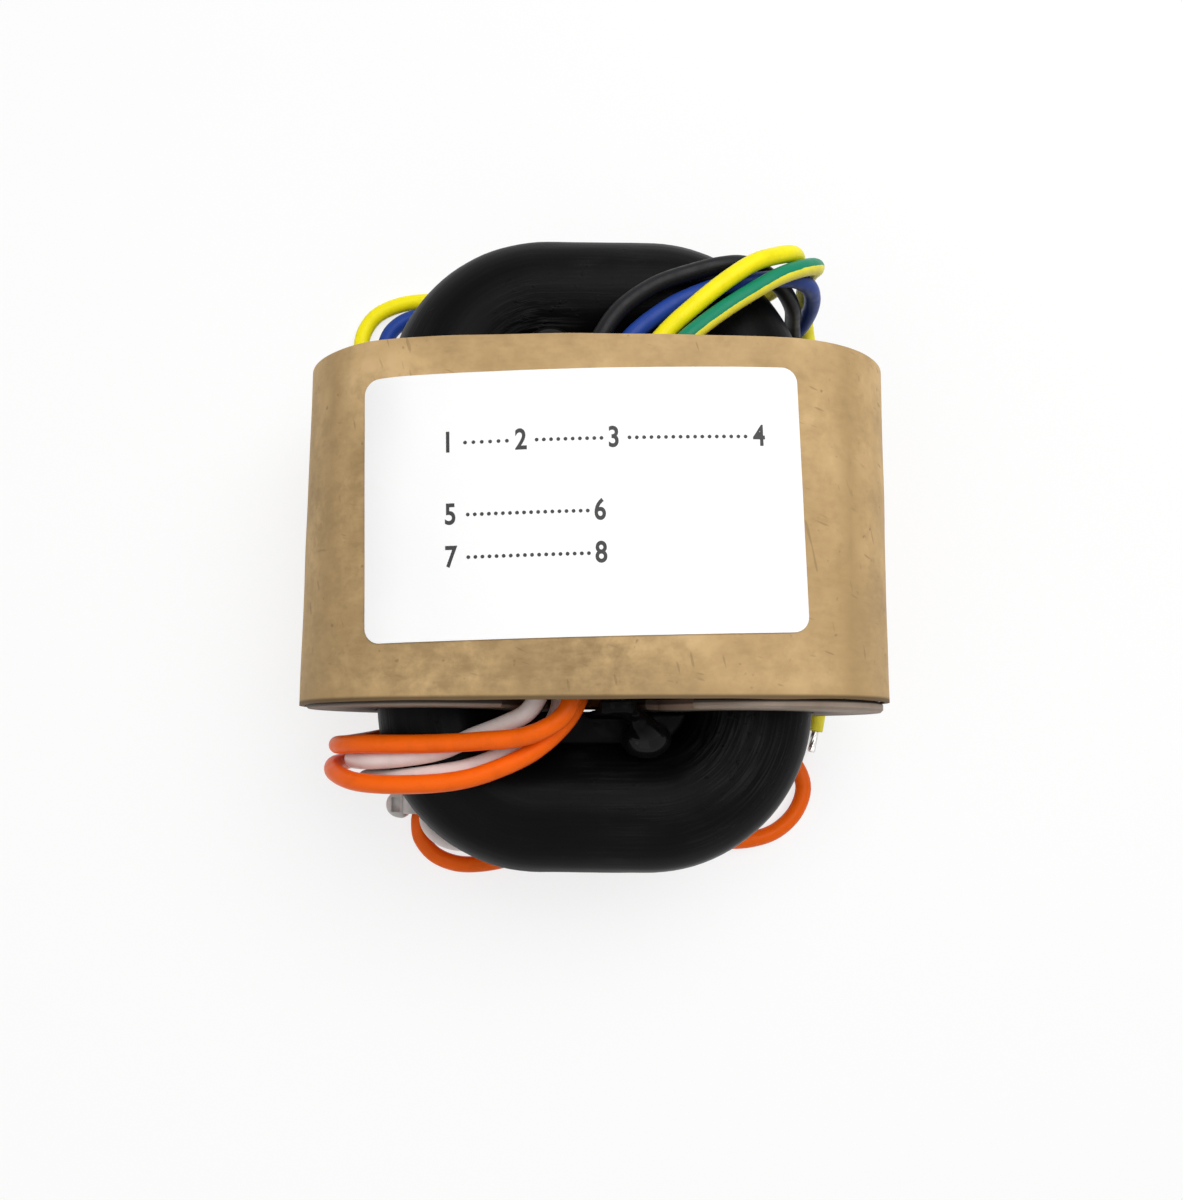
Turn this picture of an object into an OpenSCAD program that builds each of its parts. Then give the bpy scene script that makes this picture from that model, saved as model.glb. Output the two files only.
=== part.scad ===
// R-core transformer of about 30 VA: a wound core of round section, two coils side by side on its
// legs, one paper sleeve round both coils, and flying leads folded away under the two yokes.
// It lies flat: X across the two coils, Y along their axes, Z up, origin under the middle.

/* [Core] */
// Diameter of the core's round section
core_d = 16; // [12:0.5:20]
// Inside corner radius of the core's window
window_r = 5; // [4:0.5:8]

/* [Bobbins] */
// Length of a bobbin over its two end flanges
bobbin_len = 42; // [36:1:60]
// Wall of the bobbin's barrel
barrel_wall = 1; // [0.8:0.1:1.6]
// Thickness of an end flange
flange_t = 1.2; // [0.8:0.1:2]
// Gap between core and barrel, which turns on the core while the coil is wound
spin_gap = 0.3; // [0.2:0.05:0.5]
// Height of the flange above the finished coil
flange_lip = 0.3; // [0.2:0.05:1]
// Bevel on the rim of a plain flange
rim_bevel = 0.3; // [0.1:0.05:0.4]
// Number of drive teeth round a flange at the driven end
tooth_count = 48; // [32:4:64]
// Depth of a drive tooth
tooth_depth = 0.6; // [0.3:0.1:1]
// How far a bobbin runs past the straight part of its leg, at each end
leg_overrun = 1; // [0:0.1:1.5]
// Width of the notch that lets leads out past a flange
notch_w = 7; // [5:0.5:9]
// Depth of that notch
notch_depth = 2.8; // [2:0.1:4]
// Width of the tabs that key the two halves of a flange together
key_w = 2; // [1.5:0.1:3]
// Length of those tabs
key_len = 1.2; // [0.8:0.1:2]
// Clearance round a tab in its slot
key_fit = 0.05; // [0.02:0.01:0.15]

/* [Windings] */
// Gap between the flanges of the two coils
coil_gap = 5.6; // [4:0.2:10]
// Radial build of the primary winding
primary_build = 3.05; // [2:0.05:5]
// Thickness of the insulating wraps over the primary and over the screen
wrap_t = 0.3; // [0.15:0.05:0.6]
// Thickness of the screen foil
foil_t = 0.15; // [0.1:0.05:0.3]
// Slit in the screen foil, which keeps it from being a shorted turn
screen_slit = 3; // [1:0.5:6]
// Radial build of the secondary winding
secondary_build = 2.55; // [1.5:0.05:4]
// Thickness of the tape over the finished coil
outer_wrap_t = 0.45; // [0.2:0.05:0.8]
// Gap between one layer and the next
layer_gap = 0.05; // [0.02:0.01:0.1]
// Gap between the layers' ends and the flanges
end_margin = 0.2; // [0.1:0.1:1]

/* [Sleeve and label] */
// Thickness of the paper sleeve
paper_t = 0.6; // [0.3:0.1:1]
// Clearance between the sleeve and the flanges
sleeve_fit = 0.2; // [0.1:0.05:0.5]
// Rise of the sleeve's top at its middle above the tops of the coils
crown = 1.2; // [0.6:0.1:3]
// How far the sleeve's end arcs are pressed flat on the underside
sleeve_press = 0.05; // [0.05:0.01:0.15]
// Length of bobbin that shows past the sleeve at the secondary end
sleeve_reveal = 1; // [0:0.1:2]
// Length of sleeve past the bobbin at the primary end
sleeve_cover = 1; // [0:0.1:3]
// Label size across the coils
label_w = 50.5; // [30:0.5:56]
// Label size along the coils
label_l = 31; // [20:1:34]
// Offset of the label's middle across the coils, as it was stuck on by hand
label_x = -1.8; // [-3:0.2:3]
// Offset of the label's middle along the coils, as it was stuck on by hand
label_y = 2.2; // [0:0.2:4]
// Turn of the label, as it was stuck on by hand
label_turn = 2; // [-4:0.5:4]
// Corner radius of the label
label_r = 1.8; // [1:0.2:4]
// Thickness of the label
label_t = 0.15; // [0.1:0.05:0.3]
// Glue line under the label
label_glue = 0.05; // [0.02:0.01:0.1]

/* [Leads and fixings] */
// Outside diameter of a lead's insulation
lead_d = 2.2; // [1.8:0.1:2.2]
// Diameter of the tinned end of a lead
tip_d = 1.1; // [0.8:0.1:1.4]
// Length of the tinned end of a lead
tip_len = 3; // [2:0.5:3]
// Width of the tie's strap
tie_w = 2.4; // [1.8:0.1:2.5]
// Thickness of the tie's strap
tie_t = 0.8; // [0.5:0.1:0.8]
// Clearance between the tie and the leads that it holds
tie_fit = 0.15; // [0.1:0.05:0.2]
// Radius of a drop of locking resin
bead_r = 3.1; // [2.5:0.1:3.4]
// Clearance between a resin drop and the surfaces that it wets
bead_fit = 0.1; // [0.05:0.05:0.3]
// Place of the resin drops across the coils
bead_x = 6; // [0:0.2:6.4]
// Height of the resin pool's top above the core's axis, in the gap between flanges and yoke
pool_rise = 2; // [1:0.5:4]
// Depth of the resin pool below the core's axis
pool_depth = 3; // [1:0.5:5]
// Thickness of the resin run that bridges the two flanges at the secondary end
run_t = 0.5; // [0.3:0.1:0.8]
// Width of that run
run_w = 7; // [4:0.5:7.5]

/* [Hidden] */
$fn = 96;
slack = 1;

// Radii of a coil, from the core outwards
core_r = core_d / 2;
bore_r = core_r + spin_gap;
barrel_r = bore_r + barrel_wall;
primary_r = barrel_r + layer_gap;
primary_wrap_r = primary_r + primary_build + layer_gap;
screen_r = primary_wrap_r + wrap_t + layer_gap;
screen_wrap_r = screen_r + foil_t + layer_gap;
secondary_r = screen_wrap_r + wrap_t + layer_gap;
outer_wrap_r = secondary_r + secondary_build + layer_gap;
coil_r = outer_wrap_r + outer_wrap_t;
flange_r = coil_r + flange_lip;
sleeve_r = flange_r + sleeve_fit + paper_t;

// Places of the legs and yokes
leg_x = flange_r + coil_gap / 2;
axis_z = sleeve_r - sleeve_press;
bend_r = window_r + core_r;
leg_straight = bobbin_len - 2 * leg_overrun;
yoke_straight = 2 * (leg_x - bend_r);
yoke_y = leg_straight / 2 + bend_r;
bobbin_end = bobbin_len / 2;
layer_end = bobbin_end - flange_t - end_margin;
key_r = barrel_r + key_w;
notch_angle = 47;

// The sleeve's crowned top is one wide arc, a little tighter than the arc that the two end arcs touch
crown_tight = 0.95;
crown_r = crown_tight * (pow(sleeve_r + crown, 2) + pow(leg_x, 2) - pow(sleeve_r, 2)) / (2 * crown);
crown_z = axis_z + sleeve_r + crown - crown_r;
sleeve_near = -bobbin_end + sleeve_reveal;
sleeve_far = bobbin_end + sleeve_cover;

// Locking resin: a pool fills the gap between the flanges' faces and the yoke, and a drop stands on it,
// on the yoke's inner shoulder
window_x = leg_x - core_r;
window_y = yoke_y - core_r;
resin_y = bobbin_end + bead_fit;
bead_y = resin_y + bead_r + run_t / 2;
bead_z = axis_z + sqrt(pow(core_r + bead_r + bead_fit, 2) - pow(yoke_y - bead_y, 2));
bead_neck = 5;
bead_neck_tilt = 60;
bead_neck_r = [2.4, 0.8];
stem_r = 1.4;
stem_in = 1.2;
run_x = -0.8;
run_top = axis_z + flange_r - 3;
run_lap = 2.3;
run_lap_t = 1.4;

// Routes of the leads, from the joint inside the sleeve to the cut end
orange_a_route = [
    [-2.6, -8, 31], [-2.6, -15, 31], [-2.8, -19.4, 31.1], [-4.3, -22.3, 31.3], [-8.2, -24.3, 31.1],
    [-13.4, -24.9, 30.2], [-18.3, -25.2, 29.1], [-23, -25.3, 28], [-27.6, -25.3, 26.2],
    [-30.9, -25.4, 22.8], [-32.2, -25.4, 18], [-32, -25.2, 12.5], [-30.4, -24.7, 7.2],
    [-26.8, -23.8, 3.2], [-21.5, -23, 1.4], [-14, -23.2, 1.2], [-5, -24.2, 1.2], [4, -24.6, 1.2],
    [12, -24.5, 1.2], [19, -24.2, 1.2], [24, -24.6, 1.2], [27.9, -26.8, 1.2], [29.7, -30.4, 1.2],
    [28.7, -34, 1.2], [25.9, -36.8, 1.2], [22.2, -38.1, 1.2], [17.6, -38.4, 1.2], [10, -38.5, 1.2],
    [0, -38.7, 1.2], [-6, -39.4, 1.2], [-11, -40.8, 1.2], [-15, -41.6, 1.2], [-18.6, -41.6, 1.3],
    [-21.7, -40.4, 1.5], [-23.6, -38.2, 1.8], [-24, -36, 2], [-23.8, -34.4, 2.1], [-23.8, -31.8, 2.1]];
orange_b_route = [
    [-1.6, -8, 28.6], [-1.6, -15, 28.6], [-2.1, -19.6, 28.7], [-3.9, -22.9, 29.1], [-7.6, -26.2, 29.1],
    [-12.6, -28.5, 29], [-17, -29.6, 28.8], [-22.9, -30, 27.9], [-28.2, -29.8, 25.6],
    [-31.6, -28.9, 21.6], [-33, -28, 16.5], [-32.6, -27.5, 11], [-30.2, -27, 5.8],
    [-26, -26.2, 2.4], [-20.5, -25.4, 1.3], [-13, -25.6, 1.2], [-5, -26.5, 1.2], [4, -26.9, 1.2],
    [11, -26.9, 1.2], [17, -26.9, 1.2], [19.7, -27.8, 1.2], [21.4, -30.1, 1.2], [21.4, -32.9, 1.2],
    [19.7, -35.2, 1.2], [17, -36.1, 1.2], [11, -36.1, 1.2], [4, -36.1, 1.2], [-4, -36.2, 1.2],
    [-9.4, -36.8, 1.2], [-13.6, -37.9, 1.2], [-17.2, -38.4, 1.3], [-19.3, -37.8, 1.6],
    [-20.8, -36.3, 1.9], [-21.4, -34.4, 2.1], [-21.4, -31.8, 2.1]];
white_a_route = [
    [-6, -8, 30.2], [-6, -14, 30.2], [-6.4, -18.4, 30.2], [-8, -21.4, 29.6], [-11, -23, 28.2],
    [-14.6, -24.4, 27.2], [-18.2, -26, 26.8], [-22.2, -26.8, 26.3], [-26.4, -27.2, 25],
    [-29.4, -27.2, 21.5], [-30.2, -27, 17], [-29.8, -27.3, 12], [-28, -27.9, 7.6],
    [-24.5, -27.4, 4.7], [-19.5, -26, 3.6], [-13, -25.8, 3.5], [-5, -26.5, 3.5], [4, -26.9, 3.5],
    [11, -26.9, 3.5], [17, -26.9, 3.5], [19.7, -27.8, 3.5], [21.4, -30.1, 3.5], [21.4, -32.9, 3.5],
    [19.7, -35.2, 3.5], [17, -36.1, 3.5], [11, -36.1, 3.5], [4, -36.1, 3.5], [-4, -36.2, 3.5],
    [-8.6, -36.8, 3.5], [-12.4, -37.9, 3.5], [-16, -38.4, 3.6], [-18.1, -37.8, 3.9],
    [-19.6, -36.3, 4.2], [-20.2, -34.4, 4.3], [-20.2, -31.8, 4.3]];
white_b_route = [
    [-4.2, -8, 27.2], [-4.2, -15, 27.2], [-4.2, -19.4, 27.2], [-5, -22.4, 27], [-7.2, -24.6, 26.8],
    [-10.8, -26.4, 26.8], [-15, -28, 26.8], [-19.2, -28.8, 26.4], [-23, -29.3, 25.1],
    [-26.4, -29.6, 22.4], [-28.4, -29.6, 18.8], [-28.8, -29.6, 14.6], [-27.9, -29.6, 10.8],
    [-25.6, -29, 8], [-21.8, -27.4, 6.6], [-17, -26.2, 6], [-11, -25.9, 5.8], [-4, -26.6, 5.8],
    [4, -26.9, 5.8], [11, -26.9, 5.8], [17, -26.9, 5.8], [19.7, -27.8, 5.8], [21.4, -30.1, 5.8],
    [21.4, -32.9, 5.8], [19.7, -35.2, 5.8], [17, -36.1, 5.8], [11, -36.1, 5.8], [4, -36.1, 5.8],
    [-4, -36.2, 5.8], [-9, -36.8, 5.9], [-13.6, -37.9, 6], [-17.4, -38.4, 6.2], [-20.2, -37.8, 6],
    [-22, -36.4, 5.3], [-22.6, -34.6, 4.5], [-22.6, -31.8, 4.3]];
black_route = [
    [-1.5, 8, 27.6], [-1.5, 16, 27.8], [-1.2, 21, 28.4], [0.4, 24.8, 28.8], [2.9, 28.3, 28.6],
    [7, 31.5, 27.8], [11.4, 33.4, 27.2], [15.3, 34.6, 26.8], [18.2, 35.3, 25.6], [21, 35.3, 23.5],
    [24, 34.6, 20.3], [26.3, 33.6, 16], [27.2, 32.8, 11.5], [28.2, 31, 7], [29.6, 27.5, 3.4],
    [30.6, 22.5, 1.6], [30.8, 16, 1.2], [30.8, 4, 1.2], [30.8, -8, 1.2], [30.4, -15, 1.2],
    [29.2, -21.6, 1.2]];
blue_route = [
    [1.2, 8, 27.6], [1.2, 16, 27.8], [1.8, 21, 28.2], [4, 24.7, 28.2], [8.1, 28.4, 27.4],
    [11.3, 30.4, 26.8], [14.5, 31.7, 26.7], [17.5, 32.6, 26.3], [21, 33.4, 25.3], [24.5, 34.5, 23.3],
    [27.6, 35, 20], [29.2, 34.9, 15.5], [29.4, 34.3, 11], [28.6, 33.8, 6.5], [26, 34.4, 2.9],
    [21.5, 35.6, 1.4], [14, 36.6, 1.2], [2, 37, 1.2], [-10, 37.2, 1.2], [-18, 37.4, 1.2],
    [-25, 37.5, 1.2], [-28, 36.8, 1.2], [-30.2, 34.9, 1.2], [-31, 32.2, 1.2], [-30.2, 29.6, 1.2],
    [-28, 27.7, 1.2], [-25, 27.1, 1.2], [-21, 27.1, 1.2], [-17, 27.1, 1.2]];
yellow_route = [
    [4.2, 8, 30], [4.4, 16, 30.2], [5.2, 20.5, 30.4], [8, 24.4, 30.4], [11.4, 27.7, 30.4],
    [15, 30.9, 30], [18.7, 33.7, 29.4], [21.8, 35.4, 27.9], [24.7, 36.9, 25.2], [26.1, 37.9, 20.2],
    [25.8, 38.6, 14], [24.6, 38.9, 8], [21.4, 39.1, 3.8], [16, 39.2, 1.6], [8, 39.3, 1.2],
    [-4, 39.5, 1.2], [-16, 39.8, 1.2], [-23, 39.9, 1.2], [-28.5, 39.3, 1.2], [-32.6, 37.2, 1.2],
    [-34.4, 33.4, 1.2], [-33.4, 29.2, 1.2], [-30, 26, 1.2], [-25, 24.7, 1.2], [-17, 24.7, 1.2]];
screen_route = [
    [7.4, 8, 32.2], [7.6, 16, 32.2], [8.2, 19.8, 32], [9.6, 22.4, 31.6], [12, 24.8, 31],
    [15.2, 27.6, 29.9], [18.7, 30.2, 29.1], [22.4, 32.8, 27.9], [26.1, 35.1, 25.3], [28.4, 36.8, 21.6],
    [28.4, 37.7, 17], [28.8, 37.3, 12], [29.9, 36, 7], [31.2, 32.6, 3.4], [32.8, 27.4, 1.7],
    [33.4, 20, 1.2], [33.4, 4, 1.2], [33.4, -8, 1.2], [33, -16, 1.2], [32, -20.5, 1.2],
    [31.5, -23, 1.2]];
primary_routes = [black_route, blue_route, yellow_route, screen_route];
secondary_routes = [orange_a_route, orange_b_route, white_a_route, white_b_route];

// Rings per stretch between two route points, and sides of a lead
lead_steps = 2;
lead_sides = 8;

// The tie goes round the four secondary leads, just short of their cut ends
held = [for (route = secondary_routes, back = [1, 2]) route[len(route) - back]];
tie_low = [min([for (p = held) p[0]]), min([for (p = held) p[2]])] - [1, 1] * (lead_d / 2 + tie_fit);
tie_high = [max([for (p = held) p[0]]), max([for (p = held) p[2]])] + [1, 1] * (lead_d / 2 + tie_fit);
tie_corner = 1;
tie_y = max([for (p = held) p[1]]) - 0.4 - tie_w / 2;
tie_head = [2.8, 3.8, 4];

// Curve through a route's points, its direction there, and a frame carried along it without twist
function route_end(route, i) =
    i < 0 ? 2 * route[0] - route[1] :
    i >= len(route) ? 2 * route[len(route) - 1] - route[len(route) - 2] : route[i];
function route_point(route, i, t) =
    let (a = route_end(route, i - 1), b = route[i], c = route[i + 1], d = route_end(route, i + 2))
    (2 * b + (c - a) * t + (2 * a - 5 * b + 4 * c - d) * t * t
        + (3 * b - a - 3 * c + d) * t * t * t) / 2;
function smooth(route, steps) = concat(
    [for (i = [0 : len(route) - 2], s = [0 : steps - 1]) route_point(route, i, s / steps)],
    [route[len(route) - 1]]);
function unit(v) = v / norm(v);
function heading(path, i) =
    unit(path[min(i + 1, len(path) - 1)] - path[max(i - 1, 0)]);
function square_to(v, along) = unit(v - (v * along) * along);
function normals(path) =
    [for (i = 0, n = square_to([0.3, 0.2, 1], heading(path, 0)); i < len(path);
          i = i + 1, n = i < len(path) ? square_to(n, heading(path, i)) : n) n];
function tip_path(route) =
    let (path = smooth(route, lead_steps), last = len(path) - 1)
    [path[last], path[last] + tip_len * heading(path, last)];

// Tube of a given diameter along a path
module tube(path, d) {
    frames = normals(path);
    rings = len(path);
    points = [for (i = [0 : rings - 1], k = [0 : lead_sides - 1])
        let (n = frames[i], b = cross(heading(path, i), n), turn = 360 * k / lead_sides)
        path[i] + d / 2 * (cos(turn) * n + sin(turn) * b)];
    sides = [for (i = [0 : rings - 2], k = [0 : lead_sides - 1])
        let (a = i * lead_sides + k, b = i * lead_sides + (k + 1) % lead_sides)
        each [[a, a + lead_sides, b + lead_sides], [a, b + lead_sides, b]]];
    start = [for (k = [0 : lead_sides - 1]) k];
    end = [for (k = [lead_sides - 1 : -1 : 0]) (rings - 1) * lead_sides + k];
    polyhedron(points, concat([start, end], sides), convexity = 6);
}

// Extrudes an outline drawn in X and Z along Y
module along_y(from, to) {
    translate([0, to, 0]) rotate([90, 0, 0]) linear_extrude(to - from, convexity = 4) children();
}

module rounded(low, high, r) {
    translate(low + [r, 0]) square([high[0] - low[0] - 2 * r, high[1] - low[1]]);
    translate(low + [0, r]) square([high[0] - low[0], high[1] - low[1] - 2 * r]);
    for (x = [low[0] + r, high[0] - r], y = [low[1] + r, high[1] - r]) translate([x, y]) circle(r);
}

// Core: two straight legs, two yokes and four bends of one round bar
module core() {
    color("#1b1b1e") translate([0, 0, axis_z]) {
        for (side = [-1, 1]) {
            translate([side * leg_x, -leg_straight / 2, 0]) rotate([-90, 0, 0])
                cylinder(leg_straight, r = core_r);
            translate([-yoke_straight / 2, side * yoke_y, 0]) rotate([0, 90, 0])
                cylinder(yoke_straight, r = core_r);
        }
        for (turn = [0, 180]) rotate(turn) {
            translate([yoke_straight / 2, leg_straight / 2, 0]) core_bend(0);
            translate([-yoke_straight / 2, leg_straight / 2, 0]) core_bend(90);
        }
    }
}

module core_bend(turn) {
    rotate(turn) rotate_extrude(angle = 90) translate([bend_r, 0]) circle(core_r);
}

// Outline of a toothed flange
module flange_outline() {
    step = 360 / tooth_count;
    polygon([for (i = [0 : tooth_count - 1], c = [[-0.34, 0], [-0.2, 1], [0.2, 1], [0.34, 0]])
        let (turn = (i + 0.5 + c[0]) * step, r = flange_r - tooth_depth * (1 - c[1]))
        r * [cos(turn), sin(turn)]]);
}

// Tabs, or their slots with some clearance, on the split line of a flange
module flange_keys(fit) {
    for (x = [-key_r, key_r]) translate([x - key_w / 2 - fit, -key_len - fit])
        square([key_w + 2 * fit, key_len + fit]);
}

// Half of a bobbin: half a barrel with a plain half flange at the near end and a toothed one, by which
// it is driven, at the far end
module bobbin_half(side, upper) {
    translate([side * leg_x, 0, axis_z]) {
        along_y(-bobbin_end + flange_t, bobbin_end - flange_t) half_disc(upper) difference() {
            circle(barrel_r);
            circle(bore_r);
        }
        translate([0, -bobbin_end, 0]) flange_cuts(side, upper) plain_flange();
        translate([0, bobbin_end - flange_t, 0]) flange_cuts(side, upper) along_y(0, flange_t) difference() {
            flange_outline();
            circle(bore_r);
        }
    }
}

// Plain flange, a disc with a bevelled rim
module plain_flange() {
    translate([0, flange_t, 0]) rotate([90, 0, 0]) rotate_extrude() polygon([
        [bore_r, 0], [flange_r - rim_bevel, 0], [flange_r, rim_bevel],
        [flange_r, flange_t - rim_bevel], [flange_r - rim_bevel, flange_t], [bore_r, flange_t]]);
}

// Halves a flange; the upper half has the lead notch on the side of the window and the tabs that key
// into the slots of the lower half
module flange_cuts(side, upper) {
    difference() {
        intersection() {
            children();
            along_y(-slack, flange_t + slack) half_disc(upper) circle(flange_r + slack);
        }
        along_y(-slack, flange_t + slack) {
            if (upper) {
                rotate(side > 0 ? 180 - notch_angle : notch_angle)
                    translate([flange_r - notch_depth, -notch_w / 2]) square([notch_depth + slack, notch_w]);
            } else {
                flange_keys(key_fit);
            }
        }
    }
    if (upper) along_y(0, flange_t) flange_keys(0);
}

module half_disc(upper) {
    reach = flange_r + 2 * slack;
    intersection() {
        children();
        translate([-reach, upper ? 0 : -reach]) square([2 * reach, reach]);
    }
}

// One layer of a coil, a plain tube over its length
module layer(side, r, build) {
    translate([side * leg_x, 0, axis_z]) along_y(-layer_end, layer_end) difference() {
        circle(r + build);
        circle(r);
    }
}

// Screen foil: an open turn with a slit at the top
module screen(side) {
    translate([side * leg_x, 0, axis_z]) along_y(-layer_end, layer_end) difference() {
        circle(screen_r + foil_t);
        circle(screen_r);
        translate([-screen_slit / 2, 0]) square([screen_slit, screen_r + foil_t + slack]);
    }
}

module left_bobbin_upper() { color("#e3d8d3") bobbin_half(-1, true); }
module left_bobbin_lower() { color("#e3d8d3") bobbin_half(-1, false); }
module right_bobbin_upper() { color("#e3d8d3") bobbin_half(1, true); }
module right_bobbin_lower() { color("#e3d8d3") bobbin_half(1, false); }
module left_primary() { color("#a8562c") layer(-1, primary_r, primary_build); }
module right_primary() { color("#a8562c") layer(1, primary_r, primary_build); }
module left_primary_wrap() { color("#d9b23a") layer(-1, primary_wrap_r, wrap_t); }
module right_primary_wrap() { color("#d9b23a") layer(1, primary_wrap_r, wrap_t); }
module left_screen() { color("#c77b4a") screen(-1); }
module right_screen() { color("#c77b4a") screen(1); }
module left_screen_wrap() { color("#d9b23a") layer(-1, screen_wrap_r, wrap_t); }
module right_screen_wrap() { color("#d9b23a") layer(1, screen_wrap_r, wrap_t); }
module left_secondary() { color("#a8562c") layer(-1, secondary_r, secondary_build); }
module right_secondary() { color("#a8562c") layer(1, secondary_r, secondary_build); }
module left_outer_wrap() { color("#d9b23a") layer(-1, outer_wrap_r, outer_wrap_t); }
module right_outer_wrap() { color("#d9b23a") layer(1, outer_wrap_r, outer_wrap_t); }

// Outline of the sleeve's outside, grown or shrunk all round: two end arcs, cut by the crowned top
// and by the flat underside
module sleeve_outline(grow) {
    top_half = leg_x * (crown_r + grow) / (crown_r - sleeve_r);
    top_h = sleeve_r + crown + grow + slack;
    reach = leg_x + sleeve_r + 2 * slack;
    intersection() {
        union() {
            for (side = [-1, 1]) translate([side * leg_x, axis_z]) circle(sleeve_r + grow);
            translate([-leg_x, -grow - slack]) square([2 * leg_x, axis_z + grow + slack]);
            translate([-top_half, axis_z]) square([2 * top_half, top_h]);
        }
        translate([0, crown_z]) circle(crown_r + grow, $fn = 720);
        translate([-reach, -grow]) square([2 * reach, 3 * sleeve_r]);
    }
}

module paper_sleeve() {
    color("#c4a87c") along_y(sleeve_near, sleeve_far) difference() {
        sleeve_outline(0);
        sleeve_outline(-paper_t);
    }
}

// Label: a thin sheet with round corners that lies on the sleeve's crowned top
module label() {
    color("#fbfbfb") intersection() {
        along_y(sleeve_near, sleeve_far) difference() {
            sleeve_outline(label_glue + label_t);
            sleeve_outline(label_glue);
        }
        translate([label_x, label_y, axis_z]) rotate(label_turn)
            linear_extrude(sleeve_r + crown + slack)
                rounded(-[label_w, label_l] / 2, [label_w, label_l] / 2, label_r);
    }
}

// Drop of locking resin on a short stem, with a neck that runs up the faces of the flanges
module resin_drop() {
    translate([bead_x, -bead_y, bead_z]) {
        sphere(bead_r);
        rotate([bead_neck_tilt - 90, 0, 0]) cylinder(bead_neck, r1 = bead_neck_r[0], r2 = bead_neck_r[1]);
    }
    translate([bead_x, stem_in - bead_y, axis_z]) cylinder(bead_z - axis_z, r = stem_r);
}

// Pool of resin that has the outline of the window's end, between the flanges' faces and the yoke
module resin_pool() {
    edge = [window_x, window_y] - [bead_fit, bead_fit];
    translate([0, 0, axis_z - pool_depth]) linear_extrude(pool_depth + pool_rise) intersection() {
        rounded(-edge, edge, window_r - bead_fit);
        translate([-window_x, -window_y]) square([2 * window_x, window_y - resin_y]);
    }
}

// Run of resin from over the flanges' rims down to the pool
module resin_run() {
    translate([run_x, 0, 0]) rotate([90, 0, 90]) linear_extrude(run_w) polygon([
        [-resin_y, axis_z], [-resin_y, run_top - run_lap_t], [run_lap - resin_y, run_top - run_lap_t],
        [run_lap - resin_y, run_top], [-resin_y - run_t, run_top], [-resin_y - run_t, axis_z]]);
}

module near_resin_drop() {
    color("#2c2c30") {
        resin_drop();
        resin_pool();
        resin_run();
    }
}

module far_resin_drop() {
    color("#2c2c30") rotate(180) {
        resin_drop();
        resin_pool();
    }
}

module lead(route) { tube(smooth(route, lead_steps), lead_d); }

module black_lead() { color("#19191b") lead(black_route); }
module blue_lead() { color("#28469a") lead(blue_route); }
module yellow_lead() { color("#fae600") lead(yellow_route); }
module screen_lead() { color("#9bbd3a") lead(screen_route); }
module orange_lead_a() { color("#f57314") lead(orange_a_route); }
module orange_lead_b() { color("#f57314") lead(orange_b_route); }
module white_lead_a() { color("#e6dcd8") lead(white_a_route); }
module white_lead_b() { color("#e6dcd8") lead(white_b_route); }

module primary_lead_tips() { color("#c8c8c4") for (route = primary_routes) tube(tip_path(route), tip_d); }
module secondary_lead_tips() { color("#c8c8c4") for (route = secondary_routes) tube(tip_path(route), tip_d); }

// Tie: a strap round the four leads with its locking head on the outer side
module lead_tie() {
    low = tie_low;
    high = tie_high;
    color("#b9b6b0") {
        along_y(tie_y - tie_w / 2, tie_y + tie_w / 2) difference() {
            rounded(low - [tie_t, tie_t], high + [tie_t, tie_t], tie_corner + tie_t);
            rounded(low, high, tie_corner);
        }
        translate([low[0] - tie_t / 2 - tie_head[0], tie_y - tie_head[1] / 2, low[1]])
            linear_extrude(tie_head[2]) rounded([0, 0], [tie_head[0], tie_head[1]], tie_corner);
    }
}

core();
left_bobbin_upper();
left_bobbin_lower();
right_bobbin_upper();
right_bobbin_lower();
left_primary();
right_primary();
left_primary_wrap();
right_primary_wrap();
left_screen();
right_screen();
left_screen_wrap();
right_screen_wrap();
left_secondary();
right_secondary();
left_outer_wrap();
right_outer_wrap();
paper_sleeve();
label();
near_resin_drop();
far_resin_drop();
black_lead();
blue_lead();
yellow_lead();
screen_lead();
orange_lead_a();
orange_lead_b();
white_lead_a();
white_lead_b();
primary_lead_tips();
secondary_lead_tips();
lead_tie();
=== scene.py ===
# R-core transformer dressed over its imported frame: varnished core, paper sleeve, label, leads
import math

import bmesh
import bpy
from mathutils import Euler, Matrix, Vector, noise


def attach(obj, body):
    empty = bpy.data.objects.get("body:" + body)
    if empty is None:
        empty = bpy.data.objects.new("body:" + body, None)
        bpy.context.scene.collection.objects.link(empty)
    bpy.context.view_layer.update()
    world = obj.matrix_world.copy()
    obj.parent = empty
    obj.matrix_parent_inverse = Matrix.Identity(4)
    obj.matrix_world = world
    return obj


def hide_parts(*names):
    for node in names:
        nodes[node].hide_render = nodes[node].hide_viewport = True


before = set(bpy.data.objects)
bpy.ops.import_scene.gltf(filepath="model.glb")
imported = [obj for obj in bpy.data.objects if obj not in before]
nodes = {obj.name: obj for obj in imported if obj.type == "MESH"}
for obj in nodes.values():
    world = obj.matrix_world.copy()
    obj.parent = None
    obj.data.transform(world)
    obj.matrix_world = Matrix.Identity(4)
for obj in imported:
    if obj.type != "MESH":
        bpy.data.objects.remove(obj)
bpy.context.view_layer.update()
body = "root"
mm = 0.001
print("frame loaded:", len(nodes), "nodes")


# camera, at the photograph's angle
cameraView = {
    "place": (-2.94, -25.61, 160.74),  # mm
    "pitch": 7.515,  # degrees, as yaw and roll are
    "yaw": -0.958,
    "roll": 0.421,
    "lens": 33.68,
    "sensor": 36,
    "clip": (0.005, 20),  # m
}


def newObject(name, data):
    made = bpy.data.objects.new(name, data)
    bpy.context.collection.objects.link(made)
    return made


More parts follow.
